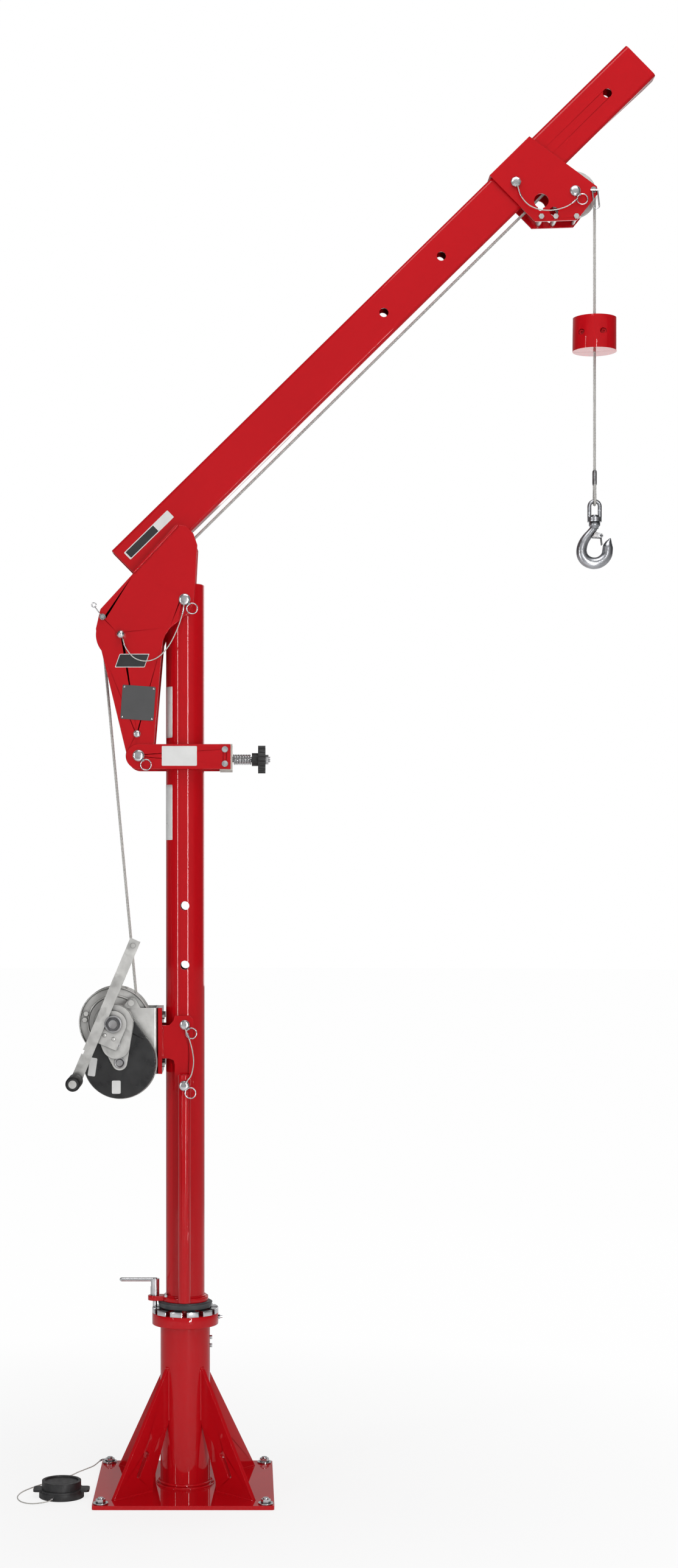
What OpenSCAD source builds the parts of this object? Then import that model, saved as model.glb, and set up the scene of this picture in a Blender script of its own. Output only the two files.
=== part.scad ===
/* [Base] */
// Thickness of the base plate
base_t = 9.5; // [8:0.5:16]
// Distance between anchor bolts
bolt_pitch = 368.3; // [330:0.1:410]
// Distance from an anchor bolt's axis to the plate's edge
bolt_edge = 19.05; // [17:0.05:40]
// Radius of the anchor bolt shanks
bolt_r = 6.35; // [5:0.05:8]
// Thickness of each gusset
gusset_t = 9.5; // [6:0.5:14]
// Height at which the gussets meet the pedestal
gusset_top = 280; // [250:1:320]

/* [Pedestal] */
// Outside diameter of the pedestal pipe
pedestal_d = 114.3; // [112:0.1:125]
// Inside diameter of the pedestal pipe
pedestal_bore = 102.3; // [98:0.1:106]
// Top of the pedestal collar
collar_top = 403; // [380:1:440]
// Height of the pedestal collar
collar_h = 26; // [18:1:40]
// Outside radius of collar and index ring
collar_r = 76.2; // [74:0.1:82]
// Thickness of the slotted index ring
ring_t = 12; // [8:0.5:16]
// Number of slots in the index ring
slot_count = 12; // [4:4:12]
// Width of each slot
slot_w = 11; // [10.6:0.1:14]
// Height of the grey mast seal
seal_h = 16; // [12:1:22]

/* [Mast] */
// Outside diameter of the mast pipe
mast_d = 88.9; // [84:0.1:92]
// Wall of the mast pipe
mast_wall = 5.5; // [3:0.1:8]
// Height of the mast top
mast_top = 2080; // [2075:1:2090]
// Height of the mast foot inside the pedestal
mast_foot = 40; // [30:1:80]
// Radius of the cross holes in mast and boom
cross_hole_r = 10.3; // [10.1:0.1:11]
// Height of the lowest cross hole
hole_z0 = 933; // [925:1:940]
// Distance between the cross holes
hole_pitch = 136; // [130:1:142]
// Height of the knuckle pivot
pivot_z = 2041; // [2035:1:2050]
// Radius of the lock plunger's place on the mast flange
plunger_x = 70; // [69:0.5:71]

/* [Knuckle and boom] */
// Angle of the boom above level
boom_angle = 44.48; // [43:0.1:46]
// Width of the boom tube
boom_w = 50.8; // [46:0.1:54]
// Height of the boom tube
boom_h = 97; // [90:0.5:102]
// Wall of the boom tube
boom_wall = 4.8; // [3:0.1:6]
// Distance of the boom axis from the pivot
boom_offset = 153; // [152:0.5:156]
// Place of the boom's far end along its axis
boom_end = 1619; // [1560:1:1700]
// Thickness of each knuckle plate
knuckle_t = 9; // [6:0.5:12]
// Half of the gap between the knuckle plates
knuckle_gap = 47; // [46.5:0.1:49]
// Radius of the large pins
pin_r = 10; // [9.5:0.1:10.1]

/* [Head] */
// Place of the head pin along the boom
head_u = 1214; // [1205:1:1225]
// Wall of the head sleeve
sleeve_t = 4.8; // [3:0.1:6]
// Half of the gap inside the head sleeve
sleeve_gap = 28.2; // [27.8:0.1:30]
// Radius of the rope path on the head sheave
head_rope_r = 49.5; // [47:0.5:51]
// Radius of the rope path on the knuckle sheave
knuckle_rope_r = 45; // [42:0.5:46]

/* [Clamp] */
// Height of the clamp arm centre line
clamp_z = 1682; // [1678:1:1686]
// Height of the clamp arms
clamp_h = 57; // [50:1:60]
// Thickness of each clamp arm
clamp_t = 5; // [4:0.5:7]
// Place of the clamp pin
clamp_pin_x = -105; // [-107:1:-103]
// Radius of the clamp rod
rod_r = 6.35; // [5:0.05:7]
// Number of spring curls
spring_curls = 11; // [8:1:12]
// Radius of the spring wire
spring_wire_r = 1.4; // [1.2:0.1:1.5]
// Radius of the clamp knob
knob_r = 32; // [26:1:38]

/* [Winch] */
// Distance between the drum axis and the lay shaft
shaft_distance = 90; // [90:0.1:90.4]
// Gear module
gear_module = 3; // [2.95:0.05:3]
// Teeth of each pinion
pinion_teeth = 12; // [12:1:12]
// Teeth of each large gear
gear_teeth = 48; // [48:1:48]
// Radius of the drum barrel
drum_r = 32; // [26:1:40]
// Radius of the drum flanges
flange_r = 81.5; // [76:0.5:81.5]
// Half of the drum width inside its flanges
drum_half = 40; // [39.5:0.5:40]
// Radius of the rope path in the outer layer
wrap_r = 55; // [50:0.5:60]
// Turns of rope in the outer layer
wrap_turns = 10; // [6:1:10]
// Radius of the crank shaft
crank_shaft_r = 10; // [9:0.1:10]
// Radius of the lay shaft
lay_shaft_r = 7.5; // [6:0.1:7.5]
// Distance from the crank axis down to the grip
crank_reach = 149.4; // [120:1:160]
// Width of the crank arm
crank_w = 24.8; // [20:0.1:28]

/* [Rope and hook] */
// Radius of the rope
rope_r = 3.2; // [2.5:0.1:3.4]
// Radius of the rope weight
weight_r = 50.8; // [40:0.1:56]
// Top of the rope weight
weight_top = 2696; // [2650:1:2750]
// Height of the rope weight
weight_h = 76.2; // [60:0.1:90]
// Height of the centre of the hook's bowl
hook_z = 2162; // [2155:1:2166]
// Radius of the hook's round body
hook_body_r = 12; // [10:0.5:12.5]

/* [Fits] */
// Radial clearance of a running fit
fit = 0.05; // [0.02:0.01:0.08]
// Clearance between neighbours that do not touch
gap = 0.3; // [0.2:0.05:0.5]

/* [Hidden] */
$fn = 64;
red = [0.62, 0.03, 0.05];
zinc = [0.72, 0.73, 0.74];
chrome = [0.82, 0.83, 0.85];
black = [0.05, 0.05, 0.06];

// base
base_side = bolt_pitch + 2 * bolt_edge;
washer_r = 17;
gusset_foot = norm([bolt_pitch, bolt_pitch]) / 2 - washer_r - 18.53;
tab_x = -bolt_pitch / 2 - 9.85;
tab_y = bolt_pitch / 2 + 21.85;

// pedestal and mast
collar_bottom = collar_top - collar_h;
ring_top = collar_top + ring_t;
seal_top = ring_top + seal_h;
flange_top = seal_top + 11;
mast_r = mast_d / 2;
pedestal_r = pedestal_d / 2;
barrel_top = flange_top + 38;
handle_z = barrel_top - 2;
plunger_drop = ring_t - 1.5;

// knuckle and boom
boom_bottom = boom_offset - boom_h / 2;
boom_start = -39;
boom_holes = [791, 976, head_u, 1511];
knuckle_out = knuckle_gap + knuckle_t;
sheave_x = -145.6;
sheave_z = 1960.7;
clamp_pin_z = clamp_z + 2;
keeper = [-187.7, 2001.4];
head_pin = [
  head_u * cos(boom_angle) - boom_offset * sin(boom_angle),
  pivot_z + head_u * sin(boom_angle) + boom_offset * cos(boom_angle)
];
head_x = head_pin[0] + 136.52;
head_z = head_pin[1] - 19.77;
small_pin_r = 8;
sheave_half = 7.5;
hub_half = 12;
rim_depth = 4;
keeper_bolt = [head_x + 3, head_z - 58];
spacer_bolts = [[head_x - 77.5, head_z - 58.5], [head_x - 44.5, head_z - 58.5]];

// rope path in the plane of the boom
drum_x = -161;
drum_z = 1074;
lay_tilt = 9;
lay_x = drum_x + shaft_distance * sin(lay_tilt);
lay_z = drum_z - shaft_distance * cos(lay_tilt);
rise = [sheave_x - drum_x, sheave_z - drum_z];
rise_angle = atan2(rise[1], rise[0]) + asin((wrap_r + knuckle_rope_r) / norm(rise));
rise_normal = [sin(rise_angle), -cos(rise_angle)];
wrap_y = -(drum_half - rope_r - 0.6);
leave = [drum_x + wrap_r * rise_normal[0], wrap_y, drum_z + wrap_r * rise_normal[1]];
arrive = [sheave_x - knuckle_rope_r * rise_normal[0], 0, sheave_z - knuckle_rope_r * rise_normal[1]];
rope_up = (arrive - leave) / norm(arrive - leave);
stub = 28;
reach = [head_x - sheave_x, head_z - sheave_z];
reach_angle = atan2(reach[1], reach[0]) + asin((head_rope_r - knuckle_rope_r) / norm(reach));
over = reach_angle + 90;
drop_x = head_x + head_rope_r;
weight_bottom = weight_top - weight_h;

// winch layers, from the frame out to the crank
side_half = 57;
side_t = 5;
back_plate_y = -side_half - 2;
cover_y = -80;
cover_wall = 2.5;
ratchet_y = -86;
strap_y = -90;
brake_y = -98;
hub_y = -104;
arm_y = -109;
crank_angle = 67.1;
crank_side = 27.6;
pinion_pitch_r = gear_module * pinion_teeth / 2;
gear_pitch_r = gear_module * gear_teeth / 2;
to_crank = atan2(drum_z - lay_z, drum_x - lay_x);
frame_x = -61;
frame_low = 957;
frame_high = 1108;
pawl_x = -121;
pawl_z = 1121;

// bracket
bracket_t = 9.5;
ear_out = 52;
ear_t = 6.35;
pin_high = hole_z0 + hole_pitch;
handle_r = 14.15;
handle_y = -76.15;
handle_low = 438;
handle_high = 957;

// clamp
arm_in = knuckle_out + 1;
arm_out = arm_in + clamp_t;
rod_z = 1678;
block_x0 = 80;
block_x1 = 109;
knob_x = 153.7;
spring_r = 11;

// hook
bowl_r = 30;
latch_x = 14;
latch_z = 32;

function unit(v) = v / norm(v);
function along(p, i) = unit(p[min(i + 1, len(p) - 1)] - p[max(i - 1, 0)]);
function ring_at(c, t, ref, r, sides) =
  let (a = unit(ref - (ref * t) * t), b = cross(t, a))
  [for (k = [0:sides - 1]) c + r * (cos(360 * k / sides) * a + sin(360 * k / sides) * b)];
function side_faces(rings, sides) = [
  for (i = [0:rings - 2], k = [0:sides - 1])
    let (l = i * sides + k, m = i * sides + (k + 1) % sides)
    each [[l, l + sides, m + sides], [l, m + sides, m]]
];
function cap_faces(rings, sides) = [
  for (k = [1:sides - 2])
    each [[0, k, k + 1], [(rings - 1) * sides, (rings - 1) * sides + k + 1, (rings - 1) * sides + k]]
];
// a smooth curve through hand picked points
function blend4(a, b, c, d, t) =
  0.5 * (2 * b + (c - a) * t + (2 * a - 5 * b + 4 * c - d) * t * t + (3 * b - a - 3 * c + d) * t * t * t);
function smooth(p, steps) = [
  for (i = [0:len(p) - 2], s = [0:steps - 1])
    blend4(p[max(i - 1, 0)], p[i], p[i + 1], p[min(i + 2, len(p) - 1)], s / steps),
  p[len(p) - 1]
];
function length_of(p, i = 0) = i > len(p) - 2 ? 0 : norm(p[i + 1] - p[i]) + length_of(p, i + 1);

module tube(p, refs, r, sides) {
  points = [for (i = [0:len(p) - 1]) each ring_at(p[i], along(p, i), refs[i], r, sides)];
  polyhedron(points, concat(side_faces(len(p), sides), cap_faces(len(p), sides)), convexity = 8);
}

module cord(points, steps, ref, r) {
  p = smooth(points, steps);
  tube(p, [for (q = p) ref], r, 8);
}

// solids in the frame used by most parts: X right, Z up, thickness along Y
module slab(y0, y1) {
  translate([0, y1, 0]) rotate([90, 0, 0]) linear_extrude(y1 - y0) children();
}

module ypin(x, z, r, y0, y1, sides = 48) {
  translate([x, y0, z]) rotate([-90, 0, 0]) cylinder(h = y1 - y0, r = r, $fn = sides);
}

module xpin(y, z, r, x0, x1, sides = 48) {
  translate([x0, y, z]) rotate([0, 90, 0]) cylinder(h = x1 - x0, r = r, $fn = sides);
}

module zpin(x, y, r, z0, z1, sides = 48) {
  translate([x, y, z0]) cylinder(h = z1 - z0, r = r, $fn = sides);
}

module turn_y(x, z) {
  translate([x, 0, z]) rotate([-90, 0, 0]) rotate_extrude(convexity = 6) children();
}

module rod(a, b, r) {
  d = b - a;
  translate(a) rotate([0, acos(d[2] / norm(d)), atan2(d[1], d[0])]) cylinder(h = norm(d), r = r);
}

module rounded(w, h, r) {
  square([w - 2 * r, h], center = true);
  square([w, h - 2 * r], center = true);
  for (x = [-1, 1], y = [-1, 1]) translate([x * (w / 2 - r), y * (h / 2 - r)]) circle(r);
}

// two circles joined by their outer tangents
module pear(a, ra, b, rb) {
  d = b - a;
  line = atan2(d[1], d[0]);
  lean = acos((ra - rb) / norm(d));
  translate(a) circle(ra);
  translate(b) circle(rb);
  polygon([
    a + ra * [cos(line + lean), sin(line + lean)], a + ra * [cos(line - lean), sin(line - lean)],
    b + rb * [cos(line - lean), sin(line - lean)], b + rb * [cos(line + lean), sin(line + lean)]
  ]);
}

module bar(a, b, w) {
  pear(a, w / 2, b, w / 2 - 0.001);
}

module in_boom() {
  translate([0, 0, pivot_z]) rotate([0, -boom_angle, 0]) children();
}

module in_crank() {
  translate([drum_x, 0, drum_z]) rotate([0, -crank_angle, 0]) children();
}

module hex_head(x, y, z, r, h) {
  translate([x, y, z]) cylinder(h = h, r = r, $fn = 6);
}

module ring_loop(x, y, z, r, wire, tilt = 0) {
  translate([x, y, z]) rotate([90, tilt, 0]) rotate_extrude() translate([r, 0]) circle(wire, $fn = 24);
}

module pull_pin(x, z, r, y0, y1, head_r) {
  ypin(x, z, r, y0 - 4.2, y1 + 3);
  ypin(x, z, head_r, y0 - 4, y0);
  ypin(x + head_r - 2, z - head_r + 2, 2.5, y0 - 8, y0 - 3.9);
  ring_loop(x + head_r + 4, y0 - 6, z - head_r - 8, 12, 1.4, 45);
}

module gear_teeth_2d(teeth, thick) {
  r = gear_module * teeth / 2;
  tip = r + 0.8 * gear_module;
  root = r - 1.1 * gear_module;
  half = 90 / teeth * thick;
  slope = 0.36 * gear_module / r * 57.3;
  polygon([
    for (i = [0:teeth - 1], c = [[root, -half - slope], [tip, -half + slope], [tip, half - slope], [root, half + slope]])
      c[0] * [cos(360 * i / teeth + c[1]), sin(360 * i / teeth + c[1])]
  ]);
}

module base_plate() {
  color(red) difference() {
    linear_extrude(base_t) rounded(base_side, base_side, 6);
    for (x = [-1, 1], y = [-1, 1])
      zpin(x * bolt_pitch / 2, y * bolt_pitch / 2, bolt_r + 0.8, -1, base_t + 1);
  }
}

module anchor_bolts() {
  color(zinc) for (x = [-1, 1], y = [-1, 1]) translate([x * bolt_pitch / 2, y * bolt_pitch / 2, 0]) {
    zpin(0, 0, bolt_r, gap, base_t + 1);
    zpin(0, 0, washer_r, base_t, base_t + 3);
    hex_head(0, 0, base_t + 2.9, 11, 8);
    zpin(0, 0, bolt_r, base_t + 3, base_t + 14);
  }
}

module pedestal_tube() {
  color(red) difference() {
    union() {
      zpin(0, 0, pedestal_r, base_t, collar_top, 96);
      translate([0, 0, base_t]) cylinder(h = 7, r1 = pedestal_r + 7, r2 = pedestal_r);
    }
    zpin(0, 0, pedestal_bore / 2, base_t - 1, collar_top + 1, 96);
  }
}

module gusset_side() {
  difference() {
    polygon([
      [pedestal_r - 0.4, gusset_top], [60, gusset_top], [gusset_foot, base_t],
      [105.5, base_t], [104, 31], [pedestal_r - 0.4, 157]
    ]);
    translate([126, 96]) circle(8);
    bar([126, 96], [150, 52], 10);
  }
}

module gussets() {
  color(red) difference() {
    for (i = [0:3]) rotate([0, 0, 45 + 90 * i]) slab(-gusset_t / 2, gusset_t / 2) gusset_side();
    zpin(0, 0, pedestal_r, base_t - 1, collar_top, 96);
  }
}

module pedestal_collar() {
  color(red) difference() {
    zpin(0, 0, collar_r, collar_bottom, collar_top, 96);
    zpin(0, 0, pedestal_r, collar_bottom - 1, collar_top + 1, 96);
    xpin(0, collar_top - 11, 3, pedestal_r - 1, collar_r + 1);
  }
}

module index_ring() {
  color(zinc) difference() {
    zpin(0, 0, collar_r, collar_top, ring_top, 96);
    zpin(0, 0, pedestal_bore / 2, collar_top - 1, ring_top + 1, 96);
    for (i = [0:slot_count - 1]) rotate([0, 0, 180 + 360 * i / slot_count]) {
      translate([pedestal_bore / 2 - 2, -slot_w / 2, collar_top - 1]) cube([40, slot_w, ring_t + 2]);
    }
  }
}

module mast_seal() {
  color([0.45, 0.46, 0.47]) difference() {
    union() {
      zpin(0, 0, 54, ring_top, seal_top, 96);
      translate([0, 0, ring_top + 2]) cylinder(h = seal_h - 5, r1 = 60, r2 = 62.6);
      zpin(0, 0, 58, seal_top - 3.1, seal_top - gap);
    }
    zpin(0, 0, mast_r + fit, ring_top - 1, seal_top + 1, 96);
  }
}

module mast_bushings() {
  color([0.75, 0.6, 0.3]) for (z = [60, collar_top - 45]) difference() {
    zpin(0, 0, pedestal_bore / 2, z, z + 42, 96);
    zpin(0, 0, mast_r + fit, z - 1, z + 43, 96);
  }
}

module thrust_pad() {
  color([0.85, 0.85, 0.8]) zpin(0, 0, pedestal_bore / 2 - gap, base_t, mast_foot, 96);
}

module pedestal_fittings() {
  color(chrome) {
    xpin(0, collar_top - 11, 3, pedestal_r, collar_r + 4);
    translate([collar_r, 0, collar_top - 11]) rotate([0, 90, 0]) cylinder(h = 4, r = 5, $fn = 6);
    translate([collar_r + 4, 0, collar_top - 11]) rotate([0, 90, 0]) cylinder(h = 6, r1 = 3.2, r2 = 2.2);
    for (z = [345, 326])
      translate([pedestal_r, 0, z]) rotate([0, 90, 0]) cylinder(h = 5, r = 4.5, $fn = 6);
  }
}

cap_x = tab_x - 85;
cap_y = tab_y - 291;
lanyard_r = 1.3;
// the lanyard's route from its tab, over the floor, to the side of the cap
cap_steps = [
  [0, 0, 13], [-13, -3, 10], [-28, -26, 3], [-46, -53, 1.4], [-62, -81, 1.4],
  [-76, -110, 1.4], [-102, -146, 1.4], [-131, -182, 1.4], [-157, -220, 1.4], [-178, -262, 1.4],
  [-184, -306, 1.4], [-172, -344, 1.6], [-149, -364, 2.5], [-125, -367, 5], [-108, -360, 7],
  [-103, -347, 7.8], [-100.57, -339.58, 8]
];
cap_route = [for (p = cap_steps) [tab_x + p[0], tab_y + p[1], p[2]]];

module lanyard_tab() {
  color(chrome) difference() {
    union() {
      zpin(-bolt_pitch / 2, bolt_pitch / 2, 16.5, base_t + 3 + gap, base_t + 4.8);
      translate([tab_x - 4.15, bolt_pitch / 2, base_t + 3 + gap]) cube([10, tab_y - bolt_pitch / 2 - lanyard_r, 1.5]);
      ypin(tab_x, cap_route[0][2], 2.6, tab_y - 4, tab_y - lanyard_r);
    }
    zpin(-bolt_pitch / 2, bolt_pitch / 2, 12, base_t, base_t + 8);
  }
}

module cap_lanyard() {
  color([0.8, 0.8, 0.78]) cord(cap_route, 3, [0.02, 0.03, 1], lanyard_r);
}

module socket_cap() {
  color(black) translate([cap_x, cap_y, 0]) {
    zpin(0, 0, 51, 0, 14, 72);
    zpin(0, 0, 50, 13.9, 19, 72);
    translate([0, 0, 14]) linear_extrude(5) rounded(127, 40, 8);
    difference() {
      zpin(0, 0, 44.5, 18.9, 37, 72);
      zpin(0, 0, 38, 34, 38, 72);
    }
  }
}

module mast_tube() {
  color(red) difference() {
    union() {
      zpin(0, 0, mast_r, mast_foot, mast_top - 2, 96);
      translate([0, 0, mast_top - 2]) cylinder(h = 2, r1 = mast_r, r2 = mast_r - 1.5, $fn = 96);
    }
    zpin(0, 0, mast_r - mast_wall, mast_foot - 1, mast_top + 1, 96);
    for (i = [0:3]) ypin(0, hole_z0 + i * hole_pitch, cross_hole_r, -60, 60);
    ypin(0, pivot_z, cross_hole_r, -60, 60);
  }
}

module mast_flange() {
  color(red) difference() {
    translate([0, 0, seal_top]) linear_extrude(flange_top - seal_top) union() {
      circle(53, $fn = 96);
      translate([-plunger_x, -16]) square([plunger_x, 32]);
      translate([-plunger_x, 0]) circle(16);
    }
    zpin(0, 0, mast_r, seal_top - 1, flange_top + 1, 96);
    zpin(-plunger_x, 0, 5 + fit, seal_top - 1, flange_top + 1);
  }
}

module plunger_barrel() {
  color(chrome) {
    difference() {
      zpin(-plunger_x, 0, 10.35, flange_top, barrel_top);
      zpin(-plunger_x, 0, 5 + fit, flange_top - 1, barrel_top + 1);
      translate([-plunger_x - 20, -5, handle_z - plunger_drop - 6]) cube([20, 10, 40]);
    }
    hex_head(-44, -24, flange_top, 6, 5);
    zpin(-44, -24, 3, flange_top, flange_top + 8);
  }
}

module lock_plunger() {
  color(chrome) {
    zpin(-plunger_x, 0, 5, ring_top + 1.5, handle_z + 4);
    xpin(0, handle_z, 4.5, -147, -plunger_x);
    translate([-147, 0, handle_z]) sphere(4.5);
  }
}

module knuckle_outline() {
  polygon([
    [-117, 2102], [-14.5, 2212], [3, 2210], [20, 2192], [29, 2166], [24, 2071.5], [19.5, 2031],
    [8, 2010], [-14, 1991], [-32.6, 1976.5], [-44, 1960], [-50, 1945], [-70, 1712],
    [-76, clamp_pin_z], [-132, clamp_pin_z], [-191, 1927], [-201, 1950], [-203, 1975], [-193, 2019]
  ]);
  translate([clamp_pin_x, clamp_pin_z]) circle(30);
  translate([sheave_x, sheave_z]) circle(57.5);
}

module knuckle_plates() {
  color(red) for (y = [-knuckle_out, knuckle_gap]) difference() {
    slab(y, y + knuckle_t) knuckle_outline();
    ypin(0, pivot_z, pin_r + fit, -80, 80);
    ypin(sheave_x, sheave_z, small_pin_r + fit, -80, 80);
    ypin(clamp_pin_x, clamp_pin_z, pin_r + fit, -80, 80);
    ypin(keeper[0], keeper[1], 4 + fit, -80, 80);
    ypin(-109, 1734, 4 + fit, -80, 80);
  }
}

module knuckle_spacers() {
  color(red) for (y = [-knuckle_gap, boom_w / 2]) in_boom()
    translate([-34, y, boom_bottom]) cube([138, knuckle_gap - boom_w / 2, 20]);
  color(zinc) {
    for (y = [-knuckle_gap, hub_half + gap]) difference() {
      ypin(sheave_x, sheave_z, 13, y, y + knuckle_gap - hub_half - gap);
      ypin(sheave_x, sheave_z, small_pin_r + fit, -80, 80);
    }
    difference() {
      ypin(-109, 1734, 9, -knuckle_gap, knuckle_gap);
      ypin(-109, 1734, 4 + fit, -80, 80);
    }
  }
}

module knuckle_pins() {
  color(chrome) {
    pull_pin(0, pivot_z, pin_r, -knuckle_out, knuckle_out, 13);
    ypin(sheave_x, sheave_z, small_pin_r, -knuckle_out - 4, knuckle_out + 5);
    translate([sheave_x, -knuckle_out - 10.3, sheave_z]) sphere(10);
    pull_pin(clamp_pin_x, clamp_pin_z, pin_r, -arm_out, arm_out, 13);
    ypin(-109, 1734, 4, -knuckle_out - 1, knuckle_out + 1);
    for (y = [-knuckle_out - 4, knuckle_out]) ypin(-109, 1734, 8, y, y + 4);
  }
}

module keeper_clip() {
  color(chrome) {
    ypin(keeper[0], keeper[1], 4, -knuckle_out - 8, knuckle_out + 4);
    ypin(keeper[0], keeper[1], 7, -knuckle_out - 3, -knuckle_out);
    ypin(keeper[0], keeper[1], 7, knuckle_out, knuckle_out + 3);
    rod([-184, -knuckle_out - 6, 1995], [-205, -knuckle_out - 6, 2024], 1.3);
    ring_loop(-207, -knuckle_out - 6, 2028, 5, 1.3);
  }
}

module boom_tube() {
  color(red) in_boom() difference() {
    translate([boom_start, 0, boom_offset]) rotate([90, 0, 90]) difference() {
      linear_extrude(boom_end - boom_start) rounded(boom_w, boom_h, 8);
      translate([0, 0, -1]) linear_extrude(boom_end - boom_start + 2)
        rounded(boom_w - 2 * boom_wall, boom_h - 2 * boom_wall, 3.5);
    }
    for (u = boom_holes) ypin(u, boom_offset, cross_hole_r, -60, 60);
  }
}

sleeve_left = head_u - 31;
sleeve_top = boom_offset + boom_h / 2 + 0.4;

module head_outline() {
  polygon([
    [sleeve_left, sleeve_top + sleeve_t], [sleeve_left + 128, sleeve_top + sleeve_t],
    [sleeve_left + 158, 16], [sleeve_left + 149, 2.2], [sleeve_left + 71, -7.3], [sleeve_left, 58]
  ]);
}

module head_sleeve() {
  color(red) difference() {
    in_boom() {
      for (y = [-sleeve_gap - sleeve_t, sleeve_gap]) slab(y, y + sleeve_t) head_outline();
      translate([sleeve_left, -sleeve_gap - 1, sleeve_top]) cube([128, 2 * sleeve_gap + 2, sleeve_t]);
    }
    in_boom() ypin(head_u, boom_offset, pin_r + fit, -60, 60);
    ypin(head_x, head_z, small_pin_r + fit, -60, 60);
    ypin(head_x - 77.5, head_z - 22, 16.75, -60, 60);
    ypin(head_x - 79.5, head_z - 39, 6, -60, 60);
    ypin(head_x - 48.5, head_z - 46, 10.3, -60, 60);
    for (p = concat(spacer_bolts, [keeper_bolt])) ypin(p[0], p[1], 4 + fit, -60, 60);
    ypin(head_x + 42.5, head_z + 3, 5, -60, 60);
  }
}

sleeve_out = sleeve_gap + sleeve_t;

module head_pins() {
  color(chrome) {
    in_boom() {
      ypin(head_u, boom_offset, pin_r, -sleeve_out - 4.2, sleeve_out + 3);
      translate([head_u, -sleeve_out, boom_offset]) rotate([90, 0, 0]) cylinder(h = 7, r = 12, $fn = 8);
    }
    pull_pin(head_x, head_z, small_pin_r, -sleeve_out, sleeve_out, 12);
  }
}

module head_spacers() {
  color(zinc) for (p = spacer_bolts) ypin(p[0], p[1], 6.5, -sleeve_gap, sleeve_gap);
  color(zinc) for (p = concat(spacer_bolts, [keeper_bolt])) {
    ypin(p[0], p[1], 4, -sleeve_out - 3, sleeve_out + 3);
    for (y = [-sleeve_out - 4, sleeve_out]) ypin(p[0], p[1], 6.5, y, y + 4, 6);
  }
  color(zinc) for (y = [-sleeve_gap, hub_half + gap]) difference() {
    ypin(head_x, head_z, 13, y, y + sleeve_gap - hub_half - gap);
    ypin(head_x, head_z, small_pin_r + fit, -80, 80);
  }
}

module head_shackle() {
  y = -sleeve_out - 6;
  color(chrome) {
    ypin(head_x + 42.5, head_z + 3, 3, -sleeve_out - 8, -sleeve_gap);
    ypin(head_x + 42.5, head_z + 3, 7, -sleeve_out - 2, -sleeve_out);
    translate([head_x, y, head_z]) {
      rod([34.5, 0, 1], [54.5, 0, 1], 2.3);
      for (x = [-6, 6]) {
        rod([44.5 + x, 0, 1], [48.45 + x, 0, -34.5], 1.8);
        translate([48.5 + x, 0, -35]) sphere(2.1);
      }
      translate([48.5, 0, -35]) rotate([90, 0, 0])
        rotate_extrude(angle = -180) translate([6, 0]) circle(1.8, $fn = 24);
    }
  }
}

pin_cord_y = -knuckle_out - 4.4 - lanyard_r;
head_cord_y = -sleeve_out - 7.7 - lanyard_r;
knuckle_route = [
  [-141.2, pin_cord_y, 1951], [-134, pin_cord_y, 1930], [-116, pin_cord_y, 1908],
  [-90, pin_cord_y, 1900], [-62, pin_cord_y, 1908], [-36, pin_cord_y, 1935],
  [-16, pin_cord_y, 1975], [-4, pin_cord_y, 2012], [-1, pin_cord_y, 2034]
];
head_steps = [
  [-133.5, 12], [-125.5, -13], [-107.5, -34], [-80.5, -45], [-50.5, -46],
  [-23.5, -39], [-6.5, -29], [4.5, -19]
];
head_route = [for (p = head_steps) [head_x + p[0], head_cord_y, head_z + p[1]]];
bracket_route = [
  [1, -66, 1061], [10, -70, 1040], [18, -78, 1012], [21, -87, 985],
  [16, -95, 958], [6, -97, 944], [2, -97.5, 937]
];

module pin_lanyards() {
  color([0.8, 0.8, 0.78]) {
    cord(knuckle_route, 2, [0, 1, 0.01], lanyard_r);
    cord(head_route, 2, [0, 1, 0.01], lanyard_r);
    cord(bracket_route, 2, [1, 0.02, 0.01], lanyard_r);
  }
}

module clamp_arms() {
  color(red) for (y = [-arm_out, arm_in]) difference() {
    slab(y, y + clamp_t) {
      translate([clamp_pin_x, clamp_z]) circle(clamp_h / 2);
      translate([clamp_pin_x, clamp_z - clamp_h / 2]) square([210, clamp_h]);
    }
    ypin(clamp_pin_x, clamp_pin_z, pin_r + fit, -80, 80);
    for (s = [-1, 1]) ypin(92, clamp_z + s * 16.4, 4 + fit, -80, 80);
  }
}

module clamp_block() {
  color([0.78, 0.79, 0.8]) difference() {
    translate([block_x0, -arm_in, clamp_z - 31]) cube([block_x1 - block_x0, 2 * arm_in, 60]);
    xpin(0, rod_z, rod_r + fit, block_x0 - 1, block_x1 + 1);
    for (s = [-1, 1], y = [-arm_in - 1, arm_in - 19]) ypin(92, clamp_z + s * 16.4, 4, y, y + 20);
  }
}

module clamp_screws() {
  color(chrome) for (s = [-1, 1]) {
    for (y = [-1, 1]) {
      ypin(92, clamp_z + s * 16.4, 4, min(y * (arm_in - 18), y * arm_out), max(y * (arm_in - 18), y * arm_out));
      ypin(92, clamp_z + s * 16.4, 7, min(y * arm_out, y * (arm_out + 4)), max(y * arm_out, y * (arm_out + 4)));
    }
  }
}

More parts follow.
